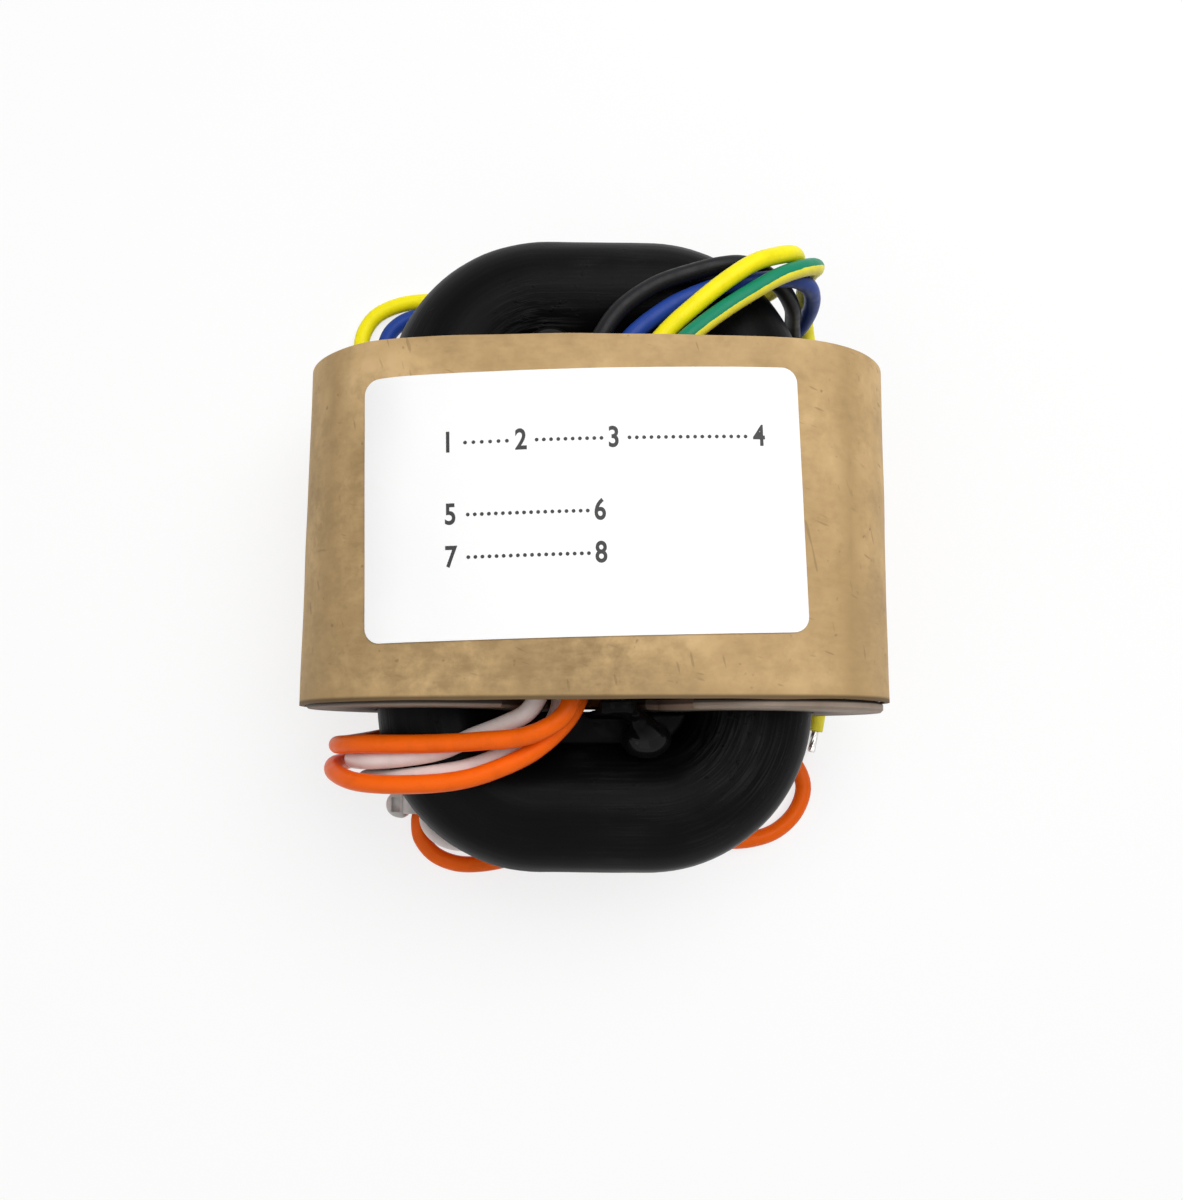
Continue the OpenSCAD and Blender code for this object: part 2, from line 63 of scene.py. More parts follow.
def addCamera():
    data = bpy.data.cameras.new("camera")
    data.lens = cameraView["lens"]
    data.sensor_width = cameraView["sensor"]
    data.clip_start, data.clip_end = cameraView["clip"]
    camera = newObject("camera", data)
    turn = [math.radians(cameraView[key]) for key in ("pitch", "yaw", "roll")]
    camera.rotation_mode = "ZXY"
    camera.rotation_euler = Euler(turn, "ZXY")
    camera.location = Vector(cameraView["place"]) * mm
    bpy.context.scene.camera = camera


addCamera()
print("camera set")


# small helpers for node trees and meshes
def put(tree, kind, inputs=None, **settings):
    made = tree.nodes.new(kind)
    for key, value in settings.items():
        setattr(made, key, value)
    for key, value in (inputs or {}).items():
        if isinstance(value, bpy.types.NodeSocket):
            tree.links.new(value, made.inputs[key])
        else:
            made.inputs[key].default_value = value
    return made


def maths(tree, operation, a, b=0.0):
    made = put(tree, "ShaderNodeMath", {0: a, 1: b}, operation=operation)
    return made.outputs[0]


def vectorMaths(tree, operation, a, b=None):
    inputs = {0: a} if b is None else {0: a, 1: b}
    return put(tree, "ShaderNodeVectorMath", inputs, operation=operation).outputs


def ramp(tree, factor, stops):
    made = put(tree, "ShaderNodeValToRGB", {"Fac": factor})
    points = made.color_ramp.elements
    while len(points) < len(stops):
        points.new(1.0)
    for point, (place, colour) in zip(points, stops):
        point.position = place
        point.color = (*colour, 1)
    return made.outputs["Color"]


def mixColour(tree, factor, a, b):
    a, b = [c if isinstance(c, bpy.types.NodeSocket) else (*c, 1) for c in (a, b)]
    inputs = {0: factor, 6: a, 7: b}  # the mix node's colour sockets
    return put(tree, "ShaderNodeMix", inputs, data_type="RGBA").outputs[2]


def spread(tree, value, low, high, toLow=0.0, toHigh=1.0):
    inputs = {"Value": value, "From Min": low, "From Max": high, "To Min": toLow, "To Max": toHigh}
    return put(tree, "ShaderNodeMapRange", inputs).outputs["Result"]


def fading(tree, value, near, far, depth):
    # depth up to near and nothing from far on, both in mm
    return spread(tree, value, near * mm, far * mm, depth, 0.0)


def varied(tree, pattern, low, high):
    # from low to high over the usual range of a noise pattern
    return spread(tree, pattern, 0.3, 0.7, low, high)


def noiseAt(tree, coords, scale, detail=4.0, rough=0.55, stretch=None):
    if stretch:
        coords = put(tree, "ShaderNodeMapping", {"Vector": coords, "Scale": stretch}).outputs["Vector"]
    inputs = {"Vector": coords, "Scale": scale, "Detail": detail, "Roughness": rough}
    return put(tree, "ShaderNodeTexNoise", inputs).outputs["Fac"]


def objectCoords(tree):
    return put(tree, "ShaderNodeTexCoord").outputs["Object"]


def axes(tree, place):
    return put(tree, "ShaderNodeSeparateXYZ", {"Vector": place}).outputs


def distance(tree, place, spot):
    # metres from a spot that is given in mm
    return vectorMaths(tree, "DISTANCE", place, [c * mm for c in spot])["Value"]


def bump(tree, height, strength, depth, under=None):
    inputs = {"Height": height, "Strength": strength, "Distance": depth}
    if under:
        inputs["Normal"] = under
    return put(tree, "ShaderNodeBump", inputs).outputs["Normal"]


def startMaterial(name, **fixed):
    material = bpy.data.materials.new(name)
    material.use_nodes = True
    tree = material.node_tree
    shader = tree.nodes["Principled BSDF"]
    for key, value in fixed.items():
        shader.inputs[key.replace("_", " ")].default_value = value
    return material, tree, shader


def feed(tree, shader, **sockets):
    for key, socket in sockets.items():
        tree.links.new(socket, shader.inputs[key.replace("_", " ")])


def clamped(value):
    return min(1.0, max(0.0, value))


def meshObject(name, points, faces, uvs=None, smooth=True):
    mesh = bpy.data.meshes.new(name)
    mesh.from_pydata([Vector(p) * mm for p in points], [], faces, shade_flat=not smooth)
    if uvs:
        layer = mesh.uv_layers.new(name="UVMap")
        for loop in mesh.loops:
            layer.data[loop.index].uv = uvs[loop.index]
    mesh.update()
    return newObject(name, mesh)


def plainMesh(source, name):
    # evaluates modifiers into a plain mesh on a fresh object, and drops the source
    graph = bpy.context.evaluated_depsgraph_get()
    mesh = bpy.data.meshes.new_from_object(source.evaluated_get(graph), depsgraph=graph)
    mesh.name = name
    old = source.data
    bpy.data.objects.remove(source)
    if isinstance(old, bpy.types.Mesh):
        bpy.data.meshes.remove(old)
    return newObject(name, mesh)


def joinPieces(pieces, name):
    first = pieces[0]
    with bpy.context.temp_override(active_object=first, selected_editable_objects=pieces):
        bpy.ops.object.join()
    first.name = name
    return first


def closeSeams(mesh, gap=0.0001 * mm):
    # joins the edges of caps and walls, and turns the faces outwards
    form = bmesh.new()
    form.from_mesh(mesh)
    bmesh.ops.remove_doubles(form, verts=form.verts, dist=gap)
    bmesh.ops.recalc_face_normals(form, faces=form.faces)
    form.to_mesh(mesh)
    form.free()
    mesh.shade_flat()


def finishPiece(piece, material, slot, *replaced):
    piece.data.materials.clear()
    piece.data.materials.append(material)
    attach(piece, body)
    if replaced:
        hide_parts(*replaced)


# leads: routes in mm from the joint inside the sleeve to the cut end
leadShape = {"diameter": 2.2, "steps": 6, "sides": 20, "edge": 0.12}
# the loop that three secondary leads make under the near yoke, one above the other
yokeLoop = [
    (4, -26.9), (11, -26.9), (17, -26.9), (19.7, -27.8), (21.4, -30.1), (21.4, -32.9),
    (19.7, -35.2), (17, -36.1), (11, -36.1), (4, -36.1), (-4, -36.2),
]


def underYoke(z):
    return [(x, y, z) for x, y in yokeLoop]



orangeLeadA = {
    "node": "orange_lead_a",
    "finish": "orange",
    "exit": (-3, -20, 31.1),
    "length": 191.5,
    "route": [
        (-2.6, -8, 31), (-2.6, -15, 31), (-2.8, -19.4, 31.1), (-4.3, -22.3, 31.3),
        (-8.2, -24.3, 31.1), (-13.4, -24.9, 30.2), (-18.3, -25.2, 29.1), (-23, -25.3, 28),
        (-27.6, -25.3, 26.2), (-30.9, -25.4, 22.8), (-32.2, -25.4, 18), (-32, -25.2, 12.5),
        (-30.4, -24.7, 7.2), (-26.8, -23.8, 3.2), (-21.5, -23, 1.4), (-14, -23.2, 1.2),
        (-5, -24.2, 1.2), (4, -24.6, 1.2), (12, -24.5, 1.2), (19, -24.2, 1.2), (24, -24.6, 1.2),
        (27.9, -26.8, 1.2), (29.7, -30.4, 1.2), (28.7, -34, 1.2), (25.9, -36.8, 1.2),
        (22.2, -38.1, 1.2), (17.6, -38.4, 1.2), (10, -38.5, 1.2), (0, -38.7, 1.2), (-6, -39.4, 1.2),
        (-11, -40.8, 1.2), (-15, -41.6, 1.2), (-18.6, -41.6, 1.3), (-21.7, -40.4, 1.5),
        (-23.6, -38.2, 1.8), (-24, -36, 2), (-23.8, -34.4, 2.1), (-23.8, -31.8, 2.1),
    ],
}
orangeLeadB = {
    "node": "orange_lead_b",
    "finish": "orange",
    "exit": (-2.2, -20, 28.7),
    "length": 171,
    "route": [
        (-1.6, -8, 28.6), (-1.6, -15, 28.6), (-2.1, -19.6, 28.7), (-3.9, -22.9, 29.1),
        (-7.6, -26.2, 29.1), (-12.6, -28.5, 29), (-17, -29.6, 28.8), (-22.9, -30, 27.9),
        (-28.2, -29.8, 25.6), (-31.6, -28.9, 21.6), (-33, -28, 16.5), (-32.6, -27.5, 11),
        (-30.2, -27, 5.8), (-26, -26.2, 2.4), (-20.5, -25.4, 1.3), (-13, -25.6, 1.2),
        (-5, -26.5, 1.2), *underYoke(1.2), (-9.4, -36.8, 1.2),
        (-13.6, -37.9, 1.2), (-17.2, -38.4, 1.3), (-19.3, -37.8, 1.6), (-20.8, -36.3, 1.9),
        (-21.4, -34.4, 2.1), (-21.4, -31.8, 2.1),
    ],
}
whiteLeadA = {
    "node": "white_lead_a",
    "finish": "white",
    "exit": (-6.9, -19.8, 30),
    "length": 156.5,
    "route": [
        (-6, -8, 30.2), (-6, -14, 30.2), (-6.4, -18.4, 30.2), (-8, -21.4, 29.6), (-11, -23, 28.2),
        (-14.6, -24.4, 27.2), (-18.2, -26, 26.8), (-22.2, -26.8, 26.3), (-26.4, -27.2, 25),
        (-29.4, -27.2, 21.5), (-30.2, -27, 17), (-29.8, -27.3, 12), (-28, -27.9, 7.6),
        (-24.5, -27.4, 4.7), (-19.5, -26, 3.6), (-13, -25.8, 3.5), (-5, -26.5, 3.5),
        *underYoke(3.5), (-8.6, -36.8, 3.5), (-12.4, -37.9, 3.5), (-16, -38.4, 3.6),
        (-18.1, -37.8, 3.9), (-19.6, -36.3, 4.2), (-20.2, -34.4, 4.3), (-20.2, -31.8, 4.3),
    ],
}
whiteLeadB = {
    "node": "white_lead_b",
    "finish": "white",
    "exit": (-4.3, -20, 27.2),
    "length": 157.5,
    "route": [
        (-4.2, -8, 27.2), (-4.2, -15, 27.2), (-4.2, -19.4, 27.2), (-5, -22.4, 27),
        (-7.2, -24.6, 26.8), (-10.8, -26.4, 26.8), (-15, -28, 26.8), (-19.2, -28.8, 26.4),
        (-23, -29.3, 25.1), (-26.4, -29.6, 22.4), (-28.4, -29.6, 18.8), (-28.8, -29.6, 14.6),
        (-27.9, -29.6, 10.8), (-25.6, -29, 8), (-21.8, -27.4, 6.6), (-17, -26.2, 6),
        (-11, -25.9, 5.8), (-4, -26.6, 5.8), *underYoke(5.8), (-9, -36.8, 5.9),
        (-13.6, -37.9, 6), (-17.4, -38.4, 6.2), (-20.2, -37.8, 6), (-22, -36.4, 5.3),
        (-22.6, -34.6, 4.5), (-22.6, -31.8, 4.3),
    ],
}
blackLead = {
    "node": "black_lead",
    "finish": "black",
    "exit": (-1, 22, 28.5),
    "length": 116.5,
    "route": [
        (-1.5, 8, 27.6), (-1.5, 16, 27.8), (-1.2, 21, 28.4), (0.4, 24.8, 28.8), (2.9, 28.3, 28.6),
        (7, 31.5, 27.8), (11.4, 33.4, 27.2), (15.3, 34.6, 26.8), (18.2, 35.3, 25.6),
        (21, 35.3, 23.5), (24, 34.6, 20.3), (26.3, 33.6, 16), (27.2, 32.8, 11.5), (28.2, 31, 7),
        (29.6, 27.5, 3.4), (30.6, 22.5, 1.6), (30.8, 16, 1.2), (30.8, 4, 1.2), (30.8, -8, 1.2),
        (30.4, -15, 1.2), (29.2, -21.6, 1.2),
    ],
}
blueLead = {
    "node": "blue_lead",
    "finish": "blue",
    "exit": (2.2, 22, 28.2),
    "length": 141.5,
    "route": [
        (1.2, 8, 27.6), (1.2, 16, 27.8), (1.8, 21, 28.2), (4, 24.7, 28.2), (8.1, 28.4, 27.4),
        (11.3, 30.4, 26.8), (14.5, 31.7, 26.7), (17.5, 32.6, 26.3), (21, 33.4, 25.3),
        (24.5, 34.5, 23.3), (27.6, 35, 20), (29.2, 34.9, 15.5), (29.4, 34.3, 11), (28.6, 33.8, 6.5),
        (26, 34.4, 2.9), (21.5, 35.6, 1.4), (14, 36.6, 1.2), (2, 37, 1.2), (-10, 37.2, 1.2),
        (-18, 37.4, 1.2), (-25, 37.5, 1.2), (-28, 36.8, 1.2), (-30.2, 34.9, 1.2), (-31, 32.2, 1.2),
        (-30.2, 29.6, 1.2), (-28, 27.7, 1.2), (-25, 27.1, 1.2), (-21, 27.1, 1.2), (-17, 27.1, 1.2),
    ],
}
yellowLead = {
    "node": "yellow_lead",
    "finish": "yellow",
    "exit": (6, 22, 30.4),
    "length": 144.5,
    "route": [
        (4.2, 8, 30), (4.4, 16, 30.2), (5.2, 20.5, 30.4), (8, 24.4, 30.4), (11.4, 27.7, 30.4),
        (15, 30.9, 30), (18.7, 33.7, 29.4), (21.8, 35.4, 27.9), (24.7, 36.9, 25.2),
        (26.1, 37.9, 20.2), (25.8, 38.6, 14), (24.6, 38.9, 8), (21.4, 39.1, 3.8), (16, 39.2, 1.6),
        (8, 39.3, 1.2), (-4, 39.5, 1.2), (-16, 39.8, 1.2), (-23, 39.9, 1.2), (-28.5, 39.3, 1.2),
        (-32.6, 37.2, 1.2), (-34.4, 33.4, 1.2), (-33.4, 29.2, 1.2), (-30, 26, 1.2),
        (-25, 24.7, 1.2), (-17, 24.7, 1.2),
    ],
}
screenLead = {
    "node": "screen_lead",
    "finish": "striped",
    "exit": (9.3, 22, 31.7),
    "length": 118.5,
    "route": [
        (7.4, 8, 32.2), (7.6, 16, 32.2), (8.2, 19.8, 32), (9.6, 22.4, 31.6), (12, 24.8, 31),
        (15.2, 27.6, 29.9), (18.7, 30.2, 29.1), (22.4, 32.8, 27.9), (26.1, 35.1, 25.3),
        (28.4, 36.8, 21.6), (28.4, 37.7, 17), (28.8, 37.3, 12), (29.9, 36, 7), (31.2, 32.6, 3.4),
        (32.8, 27.4, 1.7), (33.4, 20, 1.2), (33.4, 4, 1.2), (33.4, -8, 1.2), (33, -16, 1.2),
        (32, -20.5, 1.2), (31.5, -23, 1.2),
    ],
}
secondaryLeads = [orangeLeadA, orangeLeadB, whiteLeadA, whiteLeadB]
primaryLeads = [blackLead, blueLead, yellowLead, screenLead]


def smoothRoute(route, steps):
    points = [Vector(p) for p in route]
    points = [2 * points[0] - points[1]] + points + [2 * points[-1] - points[-2]]
    path = []
    for a, b, c, d in zip(points, points[1:], points[2:], points[3:]):
        for step in range(steps):
            t = step / steps
            square = 2 * a - 5 * b + 4 * c - d
            cube = 3 * b - a - 3 * c + d
            path.append((2 * b + (c - a) * t + square * t * t + cube * t * t * t) / 2)
    path.append(points[-2])
    return path


def carriedFrames(path):
    # two square directions across the path at each point, carried along without twist
    frames = []
    side = Vector((0.3, 0.2, 1))
    for i in range(len(path)):
        heading = (path[min(i + 1, len(path) - 1)] - path[max(i - 1, 0)]).normalized()
        side = (side - side.dot(heading) * heading).normalized()
        frames.append((side, heading.cross(side)))
    return frames


def tube(name, path, radii, sides, lobes=None):
    # closed tube; UV goes round in x and along in y, in mm
    frames = carriedFrames(path)
    points, faces, uvs = [], [], []
    run = [0.0]
    for a, b in zip(path, path[1:]):
        run.append(run[-1] + (b - a).length)
    for i, (place, (side, up)) in enumerate(zip(path, frames)):
        for k in range(sides):
            turn = 2 * math.pi * k / sides
            reach = radii[i] * (lobes(turn, run[i]) if lobes else 1)
            points.append(place + reach * (math.cos(turn) * side + math.sin(turn) * up))
    for i in range(len(path) - 1):
        for k in range(sides):
            a, b = i * sides + k, i * sides + (k + 1) % sides
            faces.append((a, b, b + sides, a + sides))
            low, high = run[i], run[i + 1]
            uvs += [(k / sides, low), ((k + 1) / sides, low), ((k + 1) / sides, high), (k / sides, high)]
    faces.append(tuple(range(sides - 1, -1, -1)))
    faces.append(tuple(range((len(path) - 1) * sides, len(path) * sides)))
    uvs += [(0.5, run[0])] * sides + [(0.5, run[-1])] * sides
    return meshObject(name, points, faces, uvs)


def makeLead(lead):
    path = smoothRoute(lead["route"], leadShape["steps"])
    radius = leadShape["diameter"] / 2
    edge = leadShape["edge"]
    heading = (path[-1] - path[-2]).normalized()
    line = path[:-1] + [path[-1] - edge * heading, path[-1]]  # small round edge at the cut end
    radii = [radius] * (len(line) - 1) + [radius - edge]
    piece = tube(lead["node"].replace("lead", "lead_skin"), line, radii, leadShape["sides"])
    lead["centre"] = path
    return piece


leadPieces = {lead["node"]: makeLead(lead) for lead in secondaryLeads + primaryLeads}
print("leads swept:", len(leadPieces))


# lead finishes
leadColours = {
    "orange": (0.95, 0.135, 0.002),
    "white": (0.82, 0.74, 0.71),
    "black": (0.007, 0.007, 0.0085),
    "blue": (0.018, 0.058, 0.31),
    "yellow": (1.0, 0.87, 0.008),
}
leadLook = {
    "gloss": 0.16,
    "rough": (0.32, 0.5),
    "scuffs": 420,
    "scuffShade": 0.9,  # share of the clean colour
    "rubs": 900,
    "drawnLines": 14,  # faint lines along the skin
}
stripeLook = {
    "green": (0.004, 0.235, 0.125),
    "yellow": (0.97, 0.86, 0.06),
    "turn": 0.45,
    "share": 0.5,
    "wobble": 0.05,
}


def leadMaterial(name, colour, stripe=None):
    material, tree, shader = startMaterial(name, Specular_IOR_Level=leadLook["gloss"])
    around = put(tree, "ShaderNodeTexCoord").outputs["UV"]
    place = objectCoords(tree)
    scuffs = noiseAt(tree, place, leadLook["scuffs"], 5, 0.6)
    darker = tuple(leadLook["scuffShade"] * c for c in colour)
    tone = ramp(tree, scuffs, [(0.3, darker), (0.52, colour)])
    if stripe:
        wobble = maths(tree, "MULTIPLY", maths(tree, "SUBTRACT", scuffs, 0.5), stripe["wobble"])
        turned = maths(tree, "ADD", maths(tree, "ADD", axes(tree, around)["X"], stripe["turn"]), wobble)
        wrapped = maths(tree, "FRACT", turned)
        isGreen = maths(tree, "LESS_THAN", wrapped, stripe["share"])
        tone = mixColour(tree, isGreen, tone, stripe["green"])
    rub = noiseAt(tree, place, leadLook["rubs"], 3, 0.5)
    rough = varied(tree, rub, *leadLook["rough"])
    drawn = noiseAt(tree, around, leadLook["drawnLines"], 2, 0.5, (1.0, 0.02, 1.0))
    normal = bump(tree, drawn, 0.12, 0.00015)
    normal = bump(tree, rub, 0.06, 0.0001, normal)
    feed(tree, shader, Base_Color=tone, Roughness=rough, Normal=normal)
    return material


leadFinishes = {key: leadMaterial(key + " insulation", colour) for key, colour in leadColours.items()}
leadFinishes["striped"] = leadMaterial("striped insulation", stripeLook["yellow"], stripeLook)

for lead in secondaryLeads + primaryLeads:
    piece = leadPieces[lead["node"]]
    finishPiece(piece, leadFinishes[lead["finish"]], lead["finish"] + "_insulation", lead["node"])
print("leads finished")


# tinned ends: twisted strands under solder
tipShape = {
    "diameter": 1.1,
    "length": 3.0,
    "rings": 24,
    "sides": 36,
    "strands": 6,
    "lay": 9.0,
    "groove": 0.1,
    "rounding": (0.92, 0.7),  # shares of the radius at the last two rings
}
tinLook = {"dull": (0.6, 0.59, 0.57), "bright": (0.82, 0.81, 0.79), "rough": (0.42, 0.24)}


def strands(turn, run):
    # share of the radius, less in the grooves between the strands
    wave = math.cos(tipShape["strands"] * (turn - 2 * math.pi * run / tipShape["lay"]))
    return 1 - tipShape["groove"] * (0.5 - 0.5 * wave) ** 2


def makeTips(name, leads):
    rings, radius = tipShape["rings"], tipShape["diameter"] / 2
    radii = [radius] * (rings - 1) + [share * radius for share in tipShape["rounding"]]
    made = []
    for lead in leads:
        end = lead["centre"][-1]
        heading = (end - lead["centre"][-2]).normalized()
        path = [end + heading * tipShape["length"] * i / rings for i in range(rings + 1)]
        made.append(tube(name, path, radii, tipShape["sides"], strands))
    return joinPieces(made, name)


def tinMaterial():
    material, tree, shader = startMaterial("tinned copper", Metallic=1.0)
    place = objectCoords(tree)
    cloud = noiseAt(tree, place, 1500, 4, 0.6)
    tone = ramp(tree, cloud, [(0.3, tinLook["dull"]), (0.7, tinLook["bright"])])
    rough = varied(tree, cloud, *tinLook["rough"])
    feed(tree, shader, Base_Color=tone, Roughness=rough, Normal=bump(tree, cloud, 0.2, 0.00005))
    return material


tinned = tinMaterial()
secondaryTips = makeTips("secondary_tip_strands", secondaryLeads)
primaryTips = makeTips("primary_tip_strands", primaryLeads)
finishPiece(secondaryTips, tinned, "tinned_copper", "secondary_lead_tips")
finishPiece(primaryTips, tinned, "tinned_copper", "primary_lead_tips")
print("tips made")


# lead tie: toothed strap round the four secondary leads, with its locking head
tieShape = {
    "low": (-25.05, 0.85),
    "high": (-18.95, 5.75),
    "middle": -33.4,
    "width": 2.4,
    "thick": 0.8,
    "corner": 1.0,
    "cornerSteps": 12,
    "step": 0.13,
    "soft": 0.12,  # rounding of the strap's long edges
    "ribs": 0.14,
    "ribPitch": 0.55,
    "ribEdge": 0.4,  # bare strap on each side of the ribs
    "ribSlope": 0.05,
    "head": (2.8, 3.8, 4.0),
    "headRound": 0.7,
    "headSteps": 24,
    "headBulge": 0.7,
    "slot": ((0.3, 0.72), (0.24, 0.76), (0.9, 1.2)),  # shares of the head
}
nylonLook = {"dark": (0.5, 0.48, 0.465), "light": (0.72, 0.69, 0.67), "rough": (0.3, 0.45)}


def strapLine(low, high, corner):
    # points and outward directions along a rounded rectangle
    line = []
    steps = tieShape["cornerSteps"]
    for cx, cz, start in (
        (high[0] - corner, low[1] + corner, -90),
        (high[0] - corner, high[1] - corner, 0),
        (low[0] + corner, high[1] - corner, 90),
        (low[0] + corner, low[1] + corner, 180),
    ):
        for i in range(steps + 1):
            turn = math.radians(start + 90 * i / steps)
            out = Vector((math.cos(turn), math.sin(turn)))
            line.append((Vector((cx, cz)) + corner * out, out))
    dense = []
    for (a, outA), (b, outB) in zip(line, line[1:] + line[:1]):
        count = max(1, round((b - a).length / tieShape["step"]))
        for i in range(count):
            t = i / count
            dense.append((a.lerp(b, t), outA.lerp(outB, t).normalized()))
    return dense


def makeTieStrap():
    line = strapLine(tieShape["low"], tieShape["high"], tieShape["corner"])
    half = tieShape["width"] / 2
    soft, rise = tieShape["soft"], tieShape["thick"]
    foot = half - tieShape["ribEdge"]
    crest = foot - tieShape["ribSlope"]
    run, last = 0.0, line[-1][0]
    points, faces = [], []
    for place, out in line:
        run += (place - last).length
        last = place
        tooth = (run / tieShape["ribPitch"]) % 1.0
        rib = tieShape["ribs"] * max(0.0, 1 - 2.2 * abs(tooth - 0.5))  # on the inner face
        ring = [
            (-half, soft), (soft - half, 0), (-foot, 0), (-crest, rib), (crest, rib), (foot, 0),
            (half - soft, 0), (half, soft), (half, rise - soft), (half - soft, rise),
            (soft - half, rise), (-half, rise - soft),
        ]
        for across, depth in ring:
            spot = place + out * depth
            points.append((spot.x, tieShape["middle"] + across, spot.y))
    size = len(ring)
    for i in range(len(line)):
        here, after = i * size, (i + 1) % len(line) * size
        for k in range(size):
            beside = (k + 1) % size
            faces.append((here + k, after + k, after + beside, here + beside))
    return meshObject("tie_strap", points, faces, smooth=False)


def makeTieHead():
    wide, deep, tall = tieShape["head"]
    x0 = tieShape["low"][0] - tieShape["thick"] / 2 - wide
    y0 = tieShape["middle"] - deep / 2
    z0 = tieShape["low"][1]
    outline = []
    steps = tieShape["headSteps"]
    for i in range(steps + 1):
        turn = math.pi * i / steps
        x = x0 + wide - wide * math.sin(turn) ** tieShape["headBulge"]
        outline.append((x, y0 + deep / 2 - deep / 2 * math.cos(turn)))
    count = len(outline)
    points = [(x, y, z) for z in (z0, z0 + tall) for x, y in outline]
    faces = [tuple(range(count)), tuple(range(2 * count - 1, count - 1, -1))]
    faces += [(i, count + i, count + (i + 1) % count, (i + 1) % count) for i in range(count)]
    block = meshObject("tie_head", points, faces)
    rounding = block.modifiers.new("rounding", "BEVEL")
    rounding.width = tieShape["headRound"] * mm
    rounding.segments = 4
    rounding.limit_method = "ANGLE"
    # the slot in the head's top, shallow because the strap's cut tail fills the rest
    across, along, up = tieShape["slot"]
    slotBox = meshObject(
        "slot_box",
        [(x0 + wide * i, y0 + deep * j, z0 + tall * k) for i in across for j in along for k in up],
        [(0, 1, 3, 2), (4, 6, 7, 5), (0, 4, 5, 1), (2, 3, 7, 6), (0, 2, 6, 4), (1, 5, 7, 3)],
    )
    cut = block.modifiers.new("slot", "BOOLEAN")
    cut.object = slotBox
    cut.operation = "DIFFERENCE"
    cut.solver = "EXACT"
    head = plainMesh(block, "tie_head")
    bpy.data.objects.remove(slotBox)
    return head


def nylonMaterial():
    material, tree, shader = startMaterial("tie nylon", Subsurface_Weight=0.25, Subsurface_Scale=0.0008)
    place = objectCoords(tree)
    cloud = noiseAt(tree, place, 350, 3, 0.5)
    tone = ramp(tree, cloud, [(0.3, nylonLook["dark"]), (0.7, nylonLook["light"])])
    rough = varied(tree, cloud, *nylonLook["rough"])
    grain = noiseAt(tree, place, 2600, 2, 0.5)
    feed(tree, shader, Base_Color=tone, Roughness=rough, Normal=bump(tree, grain, 0.12, 0.00005))
    return material


nylon = nylonMaterial()
tieStrap = makeTieStrap()
tieHead = makeTieHead()
finishPiece(tieStrap, nylon, "tie_nylon", "lead_tie")
finishPiece(tieHead, nylon, "tie_nylon", "lead_tie")
print("tie made")

# core: one round bar on a rounded rectangle, swept by nodes
coreShape = {
    "barRadius": 8.0,
    "legSpacing": 39.0,
    "yokeSpacing": 66.0,
    "bendRadius": 13.0,
    "height": 17.45,
}
coreDetail = {"bendSteps": 40, "step": 0.8, "ringSteps": 112, "lumps": 120.0, "lumpDepth": 0.08}
coreLook = {
    "gloss": 0.05,
    "rough": (0.3, 0.5),
    "deep": (0.001, 0.001, 0.0011),
    "haze": (0.0035, 0.0035, 0.0038),
    "ridgeGlint": (0.045, 0.045, 0.048),
    # middle and reach in mm of the places where the strip shows through thin varnish and its edges are
    # drawn lighter as painted glints
    "thin": [((17, -26, 25), 8), ((-8, 27.5, 25), 7)],
}


def addInputs(tree, values):
    sockets = {}
    for key, value in values.items():
        made = tree.interface.new_socket(key, in_out="INPUT", socket_type="NodeSocketFloat")
        made.default_value = value * mm
        sockets[key] = made.identifier
    return sockets


def stored(tree, geometry, name, value, kind):
    inputs = {"Geometry": geometry, "Name": name, "Value": value}
    made = put(tree, "GeometryNodeStoreNamedAttribute", inputs, data_type=kind, domain="POINT")
    return made.outputs[0]


def endTree(tree, geometry, material):
    real = put(tree, "GeometryNodeRealizeInstances", {"Geometry": geometry}).outputs[0]
    painted = put(tree, "GeometryNodeSetMaterial", {"Geometry": real, "Material": material}).outputs[0]
    result = put(tree, "NodeGroupOutput")
    tree.links.new(painted, result.inputs[0])


def runTree(mesh, tree, sockets, values, name):
    # lets a node tree work on a mesh, and gives the outcome as a plain piece
    holder = newObject(mesh.name, mesh)
    modifier = holder.modifiers.new("nodes", "NODES")
    modifier.node_group = tree
    for key, identifier in sockets.items():
        modifier[identifier] = values[key] * mm
    return plainMesh(holder, name)


